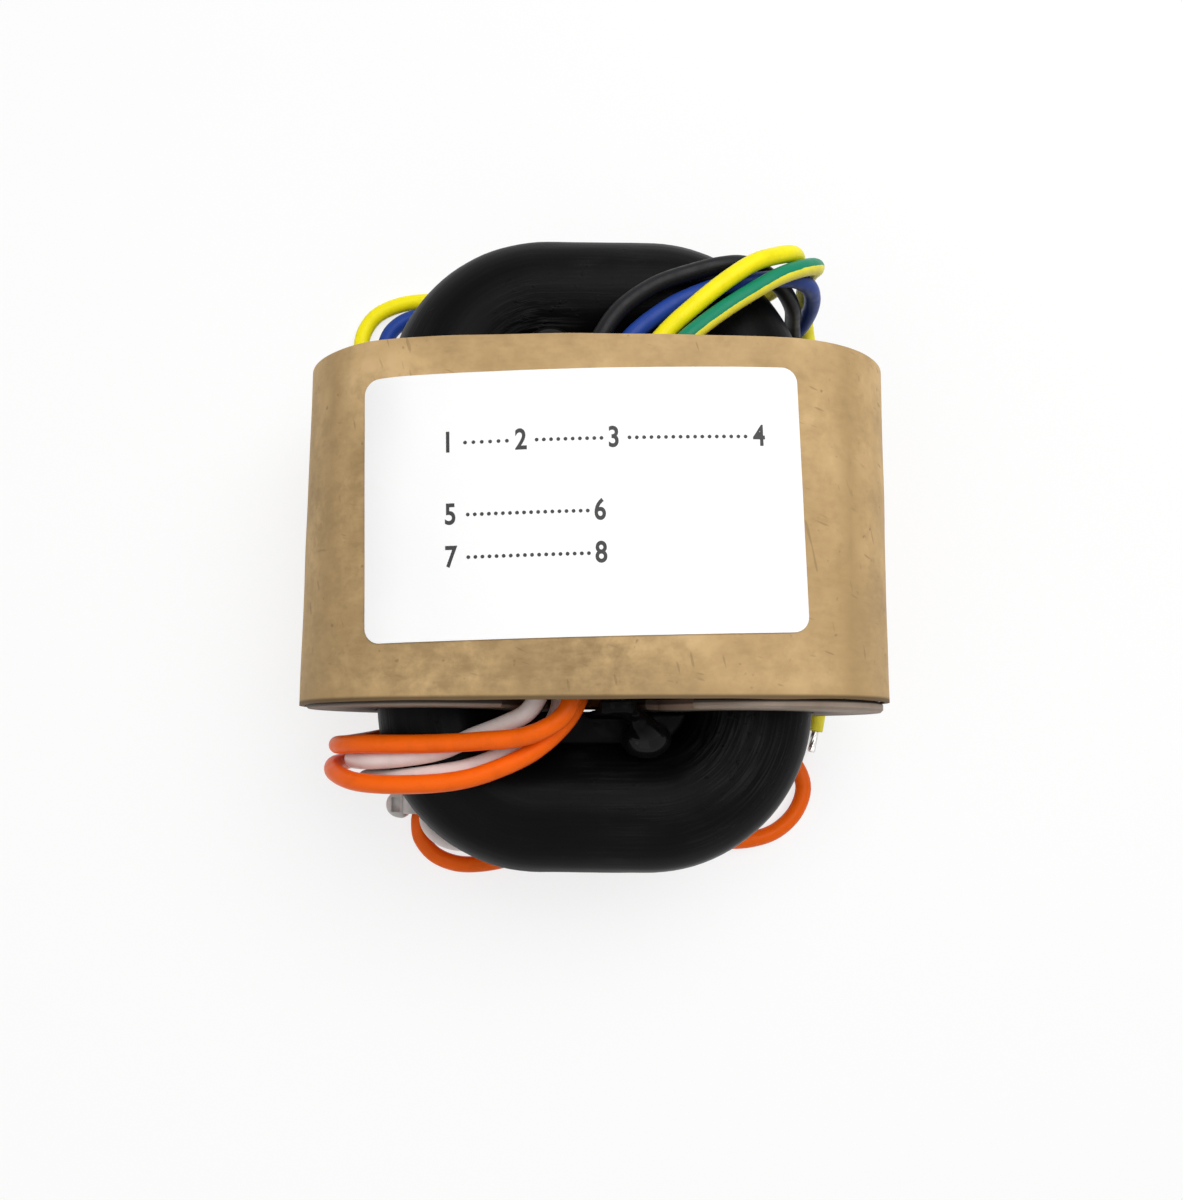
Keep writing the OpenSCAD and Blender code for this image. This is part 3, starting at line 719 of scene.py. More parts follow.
def coreTree():
    tree = bpy.data.node_groups.new("core sweep", "GeometryNodeTree")
    sockets = addInputs(tree, coreShape)
    tree.interface.new_socket("Mesh", in_out="OUTPUT", socket_type="NodeSocketGeometry")
    given = put(tree, "NodeGroupInput").outputs
    here = put(tree, "GeometryNodeInputPosition").outputs[0]
    plan = put(tree, "GeometryNodeCurvePrimitiveQuadrilateral",
               {"Width": given["legSpacing"], "Height": given["yokeSpacing"]}).outputs[0]
    bends = {"Curve": plan, "Radius": given["bendRadius"], "Count": coreDetail["bendSteps"]}
    bent = put(tree, "GeometryNodeFilletCurve", bends, mode="POLY").outputs[0]
    even = put(tree, "GeometryNodeResampleCurve",
               {"Curve": bent, "Length": coreDetail["step"] * mm}, mode="LENGTH").outputs[0]
    lift = put(tree, "ShaderNodeCombineXYZ", {"Z": given["height"]}).outputs[0]
    placed = put(tree, "GeometryNodeSetPosition", {"Geometry": even, "Offset": lift}).outputs[0]
    walked = put(tree, "GeometryNodeSplineParameter").outputs["Length"]
    line = stored(tree, placed, "along", walked, "FLOAT")
    line = stored(tree, line, "centreLine", here, "FLOAT_VECTOR")
    ring = put(tree, "GeometryNodeCurvePrimitiveCircle",
               {"Resolution": coreDetail["ringSteps"], "Radius": given["barRadius"]}).outputs[0]
    swept = put(tree, "GeometryNodeCurveToMesh", {"Curve": line, "Profile Curve": ring}).outputs[0]
    # plan offset of each point from the bar's middle: the strip's layers run at constant offset
    middle = put(tree, "GeometryNodeInputNamedAttribute", {"Name": "centreLine"},
                 data_type="FLOAT_VECTOR").outputs[0]
    apart = vectorMaths(tree, "SUBTRACT", here, middle)[0]
    flat = vectorMaths(tree, "MULTIPLY", apart, (1, 1, 0))[0]
    reach = vectorMaths(tree, "LENGTH", flat)["Value"]
    outside = maths(tree, "SIGN", vectorMaths(tree, "DOT_PRODUCT", flat, middle)["Value"])
    layered = stored(tree, swept, "layer", maths(tree, "MULTIPLY", reach, outside), "FLOAT")
    # low lumps of varnish
    lumps = put(tree, "ShaderNodeTexNoise", {"Vector": here, "Scale": coreDetail["lumps"], "Detail": 2.0})
    sink = varied(tree, lumps.outputs[0], -coreDetail["lumpDepth"] * mm, 0.0)
    outward = put(tree, "GeometryNodeInputNormal").outputs[0]
    push = put(tree, "ShaderNodeVectorMath", {0: outward, "Scale": sink}, operation="SCALE").outputs[0]
    coated = put(tree, "GeometryNodeSetPosition", {"Geometry": layered, "Offset": push}).outputs[0]
    smooth = put(tree, "GeometryNodeSetShadeSmooth", {"Geometry": coated}).outputs[0]
    endTree(tree, smooth, coreVarnish)
    return tree, sockets


def varnishMaterial():
    material, tree, shader = startMaterial("core varnish", Specular_IOR_Level=coreLook["gloss"])
    place = objectCoords(tree)
    layer = put(tree, "ShaderNodeAttribute", attribute_name="layer").outputs["Fac"]
    along = put(tree, "ShaderNodeAttribute", attribute_name="along").outputs["Fac"]
    # strip edges: fine lines along the bar, drawn on the layer offset and stretched along the loop
    strip = put(tree, "ShaderNodeCombineXYZ", {"X": layer, "Y": maths(tree, "MULTIPLY", along, 0.03)})
    edges = noiseAt(tree, strip.outputs[0], 2600, 3, 0.7)
    broad = noiseAt(tree, strip.outputs[0], 700, 2, 0.6)
    patches = noiseAt(tree, place, 70, 3, 0.55)
    shown = spread(tree, patches, 0.54, 0.7, 0.05, 0.35)
    for spot, reach in coreLook["thin"]:
        away = distance(tree, place, spot)
        shown = maths(tree, "MAXIMUM", shown, fading(tree, away, 0.3 * reach, reach, 0.9))
    ridgeGlint = maths(tree, "MULTIPLY", spread(tree, edges, 0.46, 0.68), shown)
    beads = noiseAt(tree, place, 900, 3, 0.5)
    drops = maths(tree, "MULTIPLY", spread(tree, beads, 0.63, 0.7), shown)
    haze = ramp(tree, patches, [(0.32, coreLook["deep"]), (0.7, coreLook["haze"])])
    # the strip's real edges drawn in a lighter colour: painted glints
    tone = mixColour(tree, maths(tree, "MULTIPLY", ridgeGlint, 0.5), haze, coreLook["ridgeGlint"])
    rough = varied(tree, broad, *coreLook["rough"])
    normal = bump(tree, ridgeGlint, 0.4, 0.0002)
    normal = bump(tree, broad, 0.2, 0.0002, normal)
    normal = bump(tree, drops, 0.6, 0.0002, normal)
    feed(tree, shader, Base_Color=tone, Roughness=rough, Normal=normal)
    return material


coreVarnish = varnishMaterial()


def makeCore():
    piece = runTree(bpy.data.meshes.new("core_sweep"), *coreTree(), coreShape, "core_bar")
    piece.data.attributes.remove(piece.data.attributes["centreLine"])
    return piece


coreBar = makeCore()
finishPiece(coreBar, coreVarnish, "core_varnish", "core")
print("core swept:", len(coreBar.data.polygons), "faces")


# paper sleeve: one sheet round both coils
sleeveShape = {
    "legX": coreShape["legSpacing"] / 2,
    "axisZ": coreShape["height"],
    "sideRadius": 17.5,
    "top": 36.15,
    "thick": 0.6,
    "near": -20.2,
    "far": 22.0,
    "step": 0.6,
    "row": 0.7,
    "ease": 8,  # how suddenly the sides turn into the flat underside
    "waves": 0.1,
    "edgeWaves": 0.12,
    "edgeFade": 9,
    "askew": 0.45,  # at the sides
}
sleeveSlant = sleeveShape["askew"] / (sleeveShape["legX"] + sleeveShape["sideRadius"])


def sleeveCrown():
    half, side = sleeveShape["legX"], sleeveShape["sideRadius"]
    rise = sleeveShape["top"] - sleeveShape["axisZ"]
    radius = (rise * rise + half * half - side * side) / (2 * (rise - side))
    centre = sleeveShape["top"] - radius
    lean = math.atan2(sleeveShape["axisZ"] - centre, half)
    return radius, centre, lean


def sleeveLine():
    # section points with outward directions, from the middle of the underside round to it again
    half, side, axis = sleeveShape["legX"], sleeveShape["sideRadius"], sleeveShape["axisZ"]
    radius, centre, lean = sleeveCrown()
    step = sleeveShape["step"]
    right = []
    count = round(half / step)
    right += [(Vector((half * i / count, 0)), Vector((0, -1))) for i in range(count)]
    sweep = lean + math.pi / 2
    count = round(side * sweep / step)
    for i in range(count):
        turn = -math.pi / 2 + sweep * i / count
        out = Vector((math.cos(turn), math.sin(turn)))
        low = (side - axis) * max(0.0, -math.sin(turn)) ** sleeveShape["ease"]
        right.append((Vector((half, axis + low)) + side * out, out))
    count = round(radius * (math.pi / 2 - lean) / step)
    for i in range(count + 1):
        turn = lean + (math.pi / 2 - lean) * i / count
        out = Vector((math.cos(turn), math.sin(turn)))
        right.append((Vector((0, centre)) + radius * out, out))
    left = [(Vector((-p.x, p.y)), Vector((-o.x, o.y))) for p, o in right[1:-1]]
    return right + left[::-1]


def paperWave(x, y, z):
    # slight unevenness of the sheet, which fades where it lies on the table
    rough = noise.noise(Vector((0.07 * x, 0.09 * y, 0.07 * z + 4)))
    fine = noise.noise(Vector((0.21 * x + 9, 0.17 * y, 0.21 * z)))
    fade = clamped((z - 0.5) / 4)
    return sleeveShape["waves"] * (rough + 0.4 * fine - 0.8) * fade


def sleeveTop(x, y):
    # height of the sleeve's outside over a point of its top
    half, side, axis = sleeveShape["legX"], sleeveShape["sideRadius"], sleeveShape["axisZ"]
    radius, centre, lean = sleeveCrown()
    if abs(x) <= radius * math.cos(lean):
        z = centre + math.sqrt(radius * radius - x * x)
    else:
        z = axis + math.sqrt(side * side - (abs(x) - half) ** 2)
    return z + paperWave(x, y, z)


def sleevePoint(place, out, t, depth):
    near, far = sleeveShape["near"], sleeveShape["far"]
    edge = Vector((0.12 * place.x, 0.12 * place.y, 7 + 3 * round(t)))
    wobble = sleeveShape["edgeWaves"] * noise.noise(edge)
    y = near + (far - near) * t + sleeveSlant * place.x
    y += wobble * max(0.0, 1 - sleeveShape["edgeFade"] * min(t, 1 - t))
    swell = paperWave(place.x, y, place.y) - depth
    return (place.x + out.x * swell, y, place.y + out.y * swell)


def makeSleeve():
    line = sleeveLine()
    rows = round((sleeveShape["far"] - sleeveShape["near"]) / sleeveShape["row"])
    points, faces = [], []
    for depth in (0.0, sleeveShape["thick"]):
        for j in range(rows + 1):
            points += [sleevePoint(place, out, j / rows, depth) for place, out in line]

    def spot(layer, j, i):
        return (layer * (rows + 1) + j) * len(line) + i % len(line)

    for i in range(len(line)):
        for j in range(rows):
            faces.append((spot(0, j, i), spot(0, j + 1, i), spot(0, j + 1, i + 1), spot(0, j, i + 1)))
            faces.append((spot(1, j, i), spot(1, j, i + 1), spot(1, j + 1, i + 1), spot(1, j + 1, i)))
        faces.append((spot(0, 0, i + 1), spot(1, 0, i + 1), spot(1, 0, i), spot(0, 0, i)))
        faces.append((spot(1, rows, i), spot(1, rows, i + 1), spot(0, rows, i + 1), spot(0, rows, i)))
    piece = meshObject("sleeve_sheet", points, faces)
    piece.data.set_sharp_from_angle(angle=math.radians(50))
    return piece


def fromSlant(tree, x, y):
    # y measured along the sleeve's slanting edges
    return maths(tree, "SUBTRACT", y, maths(tree, "MULTIPLY", x, sleeveSlant))


paperLook = {
    "light": (0.7, 0.48, 0.237),
    "plain": (0.555, 0.37, 0.17),
    "dark": (0.38, 0.246, 0.107),
    "paintedShade": (0.28, 0.182, 0.079),
    "fleck": (0.19, 0.12, 0.054),
    # edge: colour of a painted shadow line along the near cut edge
    "edge": (0.095, 0.055, 0.021),
    "rough": (0.62, 0.78),
    # middle in mm, reach in mm and depth of each patch of painted shade
    "shadedSpots": [((-19, -17, 34), 23, 0.8), ((-1, -18, 36), 15, 0.9), ((-31, 4, 30), 18, 0.55)],
    # turn and stretch of the stray hairs in the sheet
    "hairs": [(0.3, (0.2, 1.0, 0.2)), (1.35, (0.18, 1.0, 0.18))],
    "turnShade": [-31.8, 29.6],  # x in mm of the bands of painted shade where the sheet turns down
    "turnShadeWidth": 2.2,
    # y in mm between which the painted shade along the near edge and the painted shadow line at its cut
    # fade
    "nearShade": (-19.8, -18.3),
    "cutShadow": (-19.9, -19.6),
}


def paperMaterial():
    look = paperLook
    material, tree, shader = startMaterial("sleeve paper", Specular_IOR_Level=0.3)
    place = objectCoords(tree)
    mottle = noiseAt(tree, place, 95, 5, 0.6)
    cloud = noiseAt(tree, place, 28, 3, 0.5)
    fibre = noiseAt(tree, place, 1500, 3, 0.6, (0.35, 1.0, 0.35))
    flecks = noiseAt(tree, place, 900, 1, 0.4)
    grime = noiseAt(tree, place, 330, 4, 0.65)
    tone = ramp(tree, mottle, [(0.3, look["dark"]), (0.5, look["plain"]), (0.68, look["light"])])
    tone = mixColour(tree, spread(tree, cloud, 0.44, 0.68, 0.0, 0.7), tone, look["dark"])
    tone = mixColour(tree, spread(tree, grime, 0.5, 0.72, 0.0, 0.5), tone, look["dark"])
    # painted shade in patches on the side away from the key light, broken up by the grime pattern
    for spot, reach, depth in look["shadedSpots"]:
        shadedHere = fading(tree, distance(tree, place, spot), 0.2 * reach, reach, depth)
        shadedHere = maths(tree, "MULTIPLY", shadedHere, spread(tree, grime, 0.25, 0.6))
        tone = mixColour(tree, shadedHere, tone, look["paintedShade"])
    tone = mixColour(tree, spread(tree, fibre, 0.35, 0.7, 0.0, 0.16), tone, look["light"])
    tone = mixColour(tree, spread(tree, flecks, 0.74, 0.8, 0.0, 0.55), tone, look["fleck"])
    for turn, thin in look["hairs"]:
        lean = put(tree, "ShaderNodeMapping", {"Vector": place, "Rotation": (0, 0, turn)})
        hairs = noiseAt(tree, lean.outputs["Vector"], 1700, 0, 0.5, thin)
        tone = mixColour(tree, spread(tree, hairs, 0.79, 0.84, 0.0, 0.4), tone, look["fleck"])
    x, y = axes(tree, place)[:2]
    # painted shade along the sleeve's near edge
    tone = mixColour(tree, fading(tree, y, *look["nearShade"], 0.4), tone, look["dark"])
    # painted shade in bands where the sheet turns down from its top
    for middle in look["turnShade"]:
        off = maths(tree, "ABSOLUTE", maths(tree, "SUBTRACT", x, middle * mm))
        turnShading = fading(tree, off, 0, look["turnShadeWidth"], 0.75)
        turnShading = maths(tree, "MULTIPLY", turnShading, spread(tree, mottle, 0.3, 0.62))
        tone = mixColour(tree, turnShading, tone, look["dark"])
    # painted shadow line along the near cut edge, where the sheet meets the flanges
    cut = fading(tree, fromSlant(tree, x, y), *look["cutShadow"], 0.9)
    tone = mixColour(tree, cut, tone, look["edge"])
    rough = varied(tree, mottle, *look["rough"])
    normal = bump(tree, fibre, 0.14, 0.0001)
    normal = bump(tree, mottle, 0.2, 0.0003, normal)
    feed(tree, shader, Base_Color=tone, Roughness=rough, Normal=normal)
    return material


paperFinish = paperMaterial()
sleeveSheet = makeSleeve()
finishPiece(sleeveSheet, paperFinish, "sleeve_paper", "paper_sleeve")
print("sleeve made:", len(sleeveSheet.data.polygons), "faces")


# label: thin sheet with round corners, laid on the sleeve, with plain lead numbers
labelShape = {
    "wide": 50.5,
    "long": 31.0,
    "corner": 1.8,
    "middle": (-1.8, 2.2),
    "turn": 2.0,
    "thick": 0.15,
    "glue": 0.05,
    "columns": 70,
    "rows": 44,
    "cornerSteps": 8,
}
labelLook = {"shaded": (0.94, 0.94, 0.94), "white": (0.97, 0.97, 0.965), "rough": (0.42, 0.55)}
printShape = {
    "size": 3.4,
    "bold": 0.075,
    "narrow": 0.82,
    "curveSteps": 5,
    "ink": 0.012,
    "dot": 0.22,
    "dotSides": 14,
    "dotPitch": 0.8,
    # (text, x, y) from the label's middle, and the spans of dots between them
    "numbers": [("1", -15.4, 7.2), ("2", -7.0, 7.2), ("3", 3.6, 7.2), ("4", 20.4, 7.2),
                ("5", -15.2, -1.2), ("6", 1.8, -1.2), ("7", -15.2, -6.1), ("8", 1.8, -6.1)],
    "leaders": [(-13.4, -8.6, 7.2), (-5.2, 2.2, 7.2), (5.4, 18.8, 7.2),
                (-13.2, 0.4, -1.2), (-13.2, 0.4, -6.1)],
}
inkLook = {"black": (0.006, 0.006, 0.006), "worn": (0.016, 0.016, 0.016), "rough": (0.5, 0.65)}


def onLabel(x, y, lift):
    turn = math.radians(labelShape["turn"])
    px = labelShape["middle"][0] + x * math.cos(turn) - y * math.sin(turn)
    py = labelShape["middle"][1] + x * math.sin(turn) + y * math.cos(turn)
    return (px, py, sleeveTop(px, py) + labelShape["glue"] + lift)


def makeLabel():
    wide, long, corner = labelShape["wide"] / 2, labelShape["long"] / 2, labelShape["corner"]
    columns, rows = labelShape["columns"], labelShape["rows"]
    steps = labelShape["cornerSteps"]
    bend = [corner * (1 - math.cos(math.pi / 2 * i / steps)) for i in range(steps)]
    straight = [corner + (2 * long - 2 * corner) * i / rows for i in range(rows + 1)]
    levels = bend + straight + [2 * long - b for b in bend[::-1]]
    points, faces = [], []
    for lift in (labelShape["thick"], 0.0):
        for level in levels:
            near = min(level, 2 * long - level)
            inset = corner - math.sqrt(corner ** 2 - max(0.0, corner - near) ** 2)
            for i in range(columns + 1):
                x = (wide - inset) * (2 * i / columns - 1)
                points.append(onLabel(x, level - long, lift))
    width = columns + 1
    sheet = len(levels) * width
    for j in range(len(levels) - 1):
        for i in range(columns):
            a = j * width + i
            faces.append((a, a + 1, a + width + 1, a + width))
            faces.append((sheet + a, sheet + a + width, sheet + a + width + 1, sheet + a + 1))
    rim = list(range(columns))
    rim += [j * width + columns for j in range(len(levels) - 1)]
    rim += [(len(levels) - 1) * width + i for i in range(columns, 0, -1)]
    rim += [j * width for j in range(len(levels) - 1, 0, -1)]
    for a, b in zip(rim, rim[1:] + rim[:1]):
        faces.append((a, a + sheet, b + sheet, b))
    piece = meshObject("label_sheet", points, faces)
    piece.data.set_sharp_from_angle(angle=math.radians(40))
    return piece


def drape(piece, lift):
    for vertex in piece.data.vertices:
        x, y = vertex.co.x / mm, vertex.co.y / mm
        vertex.co = Vector(onLabel(x, y, lift + vertex.co.z / mm)) * mm


def makeNumbers():
    made = []
    for text, x, y in printShape["numbers"]:
        curve = bpy.data.curves.new("number", "FONT")
        curve.body = text
        curve.size = printShape["size"] * mm
        curve.offset = printShape["bold"] * mm
        curve.align_x = "CENTER"
        curve.align_y = "CENTER"
        curve.extrude = printShape["ink"] / 2 * mm
        curve.resolution_u = printShape["curveSteps"]
        glyph = plainMesh(newObject("number", curve), "number_" + text)
        closeSeams(glyph.data)
        for vertex in glyph.data.vertices:
            vertex.co.x = vertex.co.x * printShape["narrow"] + x * mm
            vertex.co.y += y * mm
        made.append(glyph)
    piece = joinPieces(made, "lead_numbers")
    drape(piece, labelShape["thick"] + printShape["ink"])
    return piece


def dotTree():
    tree = bpy.data.node_groups.new("leader dots", "GeometryNodeTree")
    tree.interface.new_socket("Lines", in_out="INPUT", socket_type="NodeSocketGeometry")
    sockets = addInputs(tree, {key: printShape[key] for key in ("dotPitch", "dot", "ink")})
    tree.interface.new_socket("Mesh", in_out="OUTPUT", socket_type="NodeSocketGeometry")
    given = put(tree, "NodeGroupInput").outputs
    line = put(tree, "GeometryNodeMeshToCurve", {"Mesh": given["Lines"]})
    spots = put(tree, "GeometryNodeCurveToPoints",
                {"Curve": line.outputs[0], "Length": given["dotPitch"]}, mode="LENGTH")
    disc = put(tree, "GeometryNodeMeshCylinder",
               {"Vertices": printShape["dotSides"], "Radius": given["dot"], "Depth": given["ink"]})
    many = put(tree, "GeometryNodeInstanceOnPoints",
               {"Points": spots.outputs["Points"], "Instance": disc.outputs["Mesh"]})
    endTree(tree, many.outputs[0], inkFinish)
    return tree, sockets


def makeLeaders():
    mesh = bpy.data.meshes.new("leader_lines")
    ends = [Vector((x, y, 0)) * mm for x0, x1, y in printShape["leaders"] for x in (x0, x1)]
    mesh.from_pydata(ends, [(2 * i, 2 * i + 1) for i in range(len(ends) // 2)], [])
    piece = runTree(mesh, *dotTree(), printShape, "leader_dots")
    drape(piece, labelShape["thick"] + printShape["ink"])
    return piece


def labelMaterial():
    material, tree, shader = startMaterial("label paper", Coat_Weight=0.15, Coat_Roughness=0.3)
    place = objectCoords(tree)
    cloud = noiseAt(tree, place, 60, 4, 0.5)
    tone = ramp(tree, cloud, [(0.3, labelLook["shaded"]), (0.7, labelLook["white"])])
    grain = noiseAt(tree, place, 1800, 3, 0.5)
    rough = varied(tree, grain, *labelLook["rough"])
    feed(tree, shader, Base_Color=tone, Roughness=rough, Normal=bump(tree, grain, 0.05, 0.00005))
    return material


def inkMaterial():
    material, tree, shader = startMaterial("label ink")
    place = objectCoords(tree)
    speck = noiseAt(tree, place, 2200, 2, 0.5)
    tone = ramp(tree, speck, [(0.35, inkLook["black"]), (0.7, inkLook["worn"])])
    feed(tree, shader, Base_Color=tone, Roughness=varied(tree, speck, *inkLook["rough"]))
    return material


inkFinish = inkMaterial()
labelSheet = makeLabel()
finishPiece(labelSheet, labelMaterial(), "label_paper", "label")
for piece in (makeNumbers(), makeLeaders()):
    finishPiece(piece, inkFinish, "label_paper")
print("label made")


# resin drops: the frame's drops rounded into one flowing form each
dropShape = {
    "weld": 0.01,
    "voxel": 0.16,
    "passes": 20,
    "lump": 0.1,
    "lumpScale": 0.45,
    "squash": 0.76,  # depth of the round end as a share of its width
    "reach": 4.4,
    "fade": 1.2,
    "neckWide": 2.9,  # radius where the neck leaves the round end
    "neckThin": 0.8,
    "poolTop": 20.0,
    "wet": 0.35,  # how far the pool runs onto the core
}
# the near drop's run between the flanges: uneven sides and a tapering, rounded top
runShape = {
    "foot": 20.5,
    "taper": 26.0,
    "top": 31.0,
    "middle": 2.7,
    "shift": -1.0,
    "pinch": 0.25,
    "narrow": 0.4,
    "face": -21.1,
    "lap": 0.45,
    "swell": 0.25,
}
# middle of each round end and the way up its neck to the flanges, in mm
dropPlaces = {
    "near_resin_drop": {"middle": (6.0, -24.45, 24.7), "rise": (-0.5, 2.5, 4.4)},
    "far_resin_drop": {"middle": (-6.0, 24.45, 24.7), "rise": (0.5, -2.5, 4.4)},
}
resinLook = {
    "gloss": 0.04,
    "rough": (0.3, 0.45),
    "deep": (0.0015, 0.0015, 0.0017),
    "thin": (0.0045, 0.0045, 0.005),
    "coat": (0.2, 0.01),  # on the round ends, which set glossy, and on the dull runs
    "coatReach": (3.0, 4.2),
}


def resinMaterial():
    material, tree, shader = startMaterial("locking resin", Coat_Roughness=0.07,
                                           Specular_IOR_Level=resinLook["gloss"])
    place = objectCoords(tree)
    cloud = noiseAt(tree, place, 260, 3, 0.5)
    tone = ramp(tree, cloud, [(0.35, resinLook["deep"]), (0.7, resinLook["thin"])])
    rough = varied(tree, cloud, *resinLook["rough"])
    near, far = [reach * mm for reach in resinLook["coatReach"]]
    coat = 0.0
    for drop in dropPlaces.values():
        away = distance(tree, place, drop["middle"])
        coat = maths(tree, "MAXIMUM", coat, spread(tree, away, near, far, *resinLook["coat"]))
    feed(tree, shader, Base_Color=tone, Roughness=rough, Coat_Weight=coat,
         Normal=bump(tree, cloud, 0.1, 0.0003))
    return material


def addNeck(mesh, middle, rise):
    # a cone that swells from the flanges down into the round end
    form = bmesh.new()
    form.from_mesh(mesh)
    turn = rise.to_track_quat("Z", "Y").to_matrix().to_4x4()
    bmesh.ops.create_cone(
        form,
        cap_ends=True,
        segments=32,
        radius1=dropShape["neckWide"] * mm,
        radius2=dropShape["neckThin"] * mm,
        depth=rise.length * mm,
        matrix=Matrix.Translation((middle + rise / 2) * mm) @ turn,
    )
    form.to_mesh(mesh)
    form.free()


def softenRun(spot, out, share):
    foot, taper, top = runShape["foot"], runShape["taper"], runShape["top"]
    share *= clamped((spot.z - foot) / 2)
    high = clamped((spot.z - taper) / (top - taper))
    pinch = runShape["pinch"] * (0.5 + 0.5 * noise.noise(Vector((3, 0, 0.4 * spot.z))))
    middle = runShape["middle"] + runShape["shift"] * high
    moved = spot.copy()
    moved.x += (middle - spot.x) * (pinch + runShape["narrow"] * high * high) * share
    moved.y -= max(0.0, spot.y - runShape["face"]) * (1 - runShape["lap"]) * share
    uneven = noise.noise(Vector((0.5 * spot.x, 5, 0.5 * spot.z)))
    moved.y -= runShape["swell"] * uneven * max(0.0, -out.y) * share
    return moved


def makeDrop(node):
    mesh = nodes[node].data.copy()
    middle, rise = Vector(dropPlaces[node]["middle"]), Vector(dropPlaces[node]["rise"])
    addNeck(mesh, middle, rise)
    holder = newObject(node + "_form", mesh)
    weld = holder.modifiers.new("weld", "WELD")
    weld.merge_threshold = dropShape["weld"] * mm
    remesh = holder.modifiers.new("remesh", "REMESH")
    remesh.mode = "VOXEL"
    remesh.voxel_size = dropShape["voxel"] * mm
    smooth = holder.modifiers.new("smooth", "SMOOTH")
    smooth.iterations = dropShape["passes"]
    piece = plainMesh(holder, node + "_form")
    outward = [vertex.normal.copy() for vertex in piece.data.vertices]
    for vertex, out in zip(piece.data.vertices, outward):
        spot = vertex.co / mm
        spot += out * dropShape["lump"] * noise.noise(dropShape["lumpScale"] * spot)
        if spot.z < dropShape["poolTop"]:
            toYoke = min(0.0, out.y) if middle.y < 0 else max(0.0, out.y)
            spot += dropShape["wet"] * Vector((out.x, toYoke, 0))
        apart = spot - middle
        hold = clamped((dropShape["reach"] - apart.length) / dropShape["fade"])
        spot.y -= apart.y * (1 - dropShape["squash"]) * hold * hold * (3 - 2 * hold)
        if node == "near_resin_drop":
            spot = softenRun(spot, out, 1 - hold)
        vertex.co = spot * mm
    piece.data.shade_smooth()
    return piece


resin = resinMaterial()
for node in dropPlaces:
    finishPiece(makeDrop(node), resin, "locking_resin", node)
print("resin drops made")


# carried-over nodes: bobbins, windings, wraps and screens
bobbinLook = {
    "gloss": 0.1,
    "rough": (0.52, 0.66),
    "dark": (0.26, 0.2, 0.155),
    "light": (0.4, 0.325, 0.265),
    "shadeAndStain": (0.034, 0.027, 0.024),
    # mm between which each darkening fades, and its depth: painted shade beside the gap, on the left coil
    # and low down, varnish stain with painted shade round the bar, painted shadow along the sleeve
    "shadeBesideGap": (9, 16, 0.75),
    "shadeLeftCoil": (-14, 4, 0.25),
    "shadeLowDown": (7, 19, 0.85),
    "varnishAndShadeRoundBar": (11.5, 14.5, 0.85),
    "shadowAlongSleeve": (-19, -18, 1.0),
}
windingLooks = {
    # name, pitch in mm, light and dark tone, depth of the grooves
    "primary": ("primary wire", 0.32, (0.8, 0.36, 0.16), (0.56, 0.22, 0.09), 0.6),
    "secondary": ("secondary wire", 0.8, (0.82, 0.39, 0.18), (0.58, 0.24, 0.1), 0.7),
    "screen": ("screen foil", 6.0, (0.86, 0.47, 0.28), (0.68, 0.33, 0.18), 0.1),
}
filmLook = {
    "rough": (0.18, 0.32),
    "dark": (0.7, 0.47, 0.07),
    "light": (0.9, 0.68, 0.16),
    "lap": (0.5, 0.31, 0.045),
    "laps": 95.0,  # overlaps of the tape to the metre
}


def bobbinMaterial():
    look = bobbinLook
    material, tree, shader = startMaterial("bobbin resin", Specular_IOR_Level=look["gloss"],
                                           Subsurface_Weight=0.12, Subsurface_Scale=0.0006)
    place = objectCoords(tree)
    x, y, z = axes(tree, place)
    flow = noiseAt(tree, place, 110, 4, 0.55)
    tone = ramp(tree, flow, [(0.3, look["dark"]), (0.7, look["light"])])
    # painted shade darkens the flanges towards the gap between the two coils, on the left coil and low
    # down; round the bar it is a varnish stain with painted shade
    aside = maths(tree, "ABSOLUTE", x)
    fromGap = maths(tree, "ADD", aside, maths(tree, "MULTIPLY", flow, 0.008))
    legSide = maths(tree, "SUBTRACT", aside, sleeveShape["legX"] * mm)
    legRise = maths(tree, "SUBTRACT", z, sleeveShape["axisZ"] * mm)
    fromLeg = put(tree, "ShaderNodeCombineXYZ", {"X": legSide, "Z": legRise}).outputs[0]
    fromLeg = vectorMaths(tree, "LENGTH", fromLeg)["Value"]
    fromBar = maths(tree, "ADD", fromLeg, maths(tree, "MULTIPLY", flow, 0.004))
    for value, key in ((fromGap, "shadeBesideGap"), (x, "shadeLeftCoil"), (z, "shadeLowDown"), (fromBar, "varnishAndShadeRoundBar")):
        tone = mixColour(tree, fading(tree, value, *look[key]), tone, look["shadeAndStain"])
    # a painted shadow line on the near flanges, along the sleeve's edge
    edge = fromSlant(tree, x, y)
    outer, inner = [(sleeveShape["near"] - off) * mm for off in (0.4, 0.2)]
    line = spread(tree, edge, outer, inner, 0.0, 0.9)
    line = maths(tree, "MULTIPLY", line, fading(tree, edge, *look["shadowAlongSleeve"]))
    tone = mixColour(tree, line, tone, look["shadeAndStain"])
    grain = noiseAt(tree, place, 1900, 3, 0.5)
    rough = varied(tree, flow, *look["rough"])
    feed(tree, shader, Base_Color=tone, Roughness=rough, Normal=bump(tree, grain, 0.1, 0.00006))
    return material


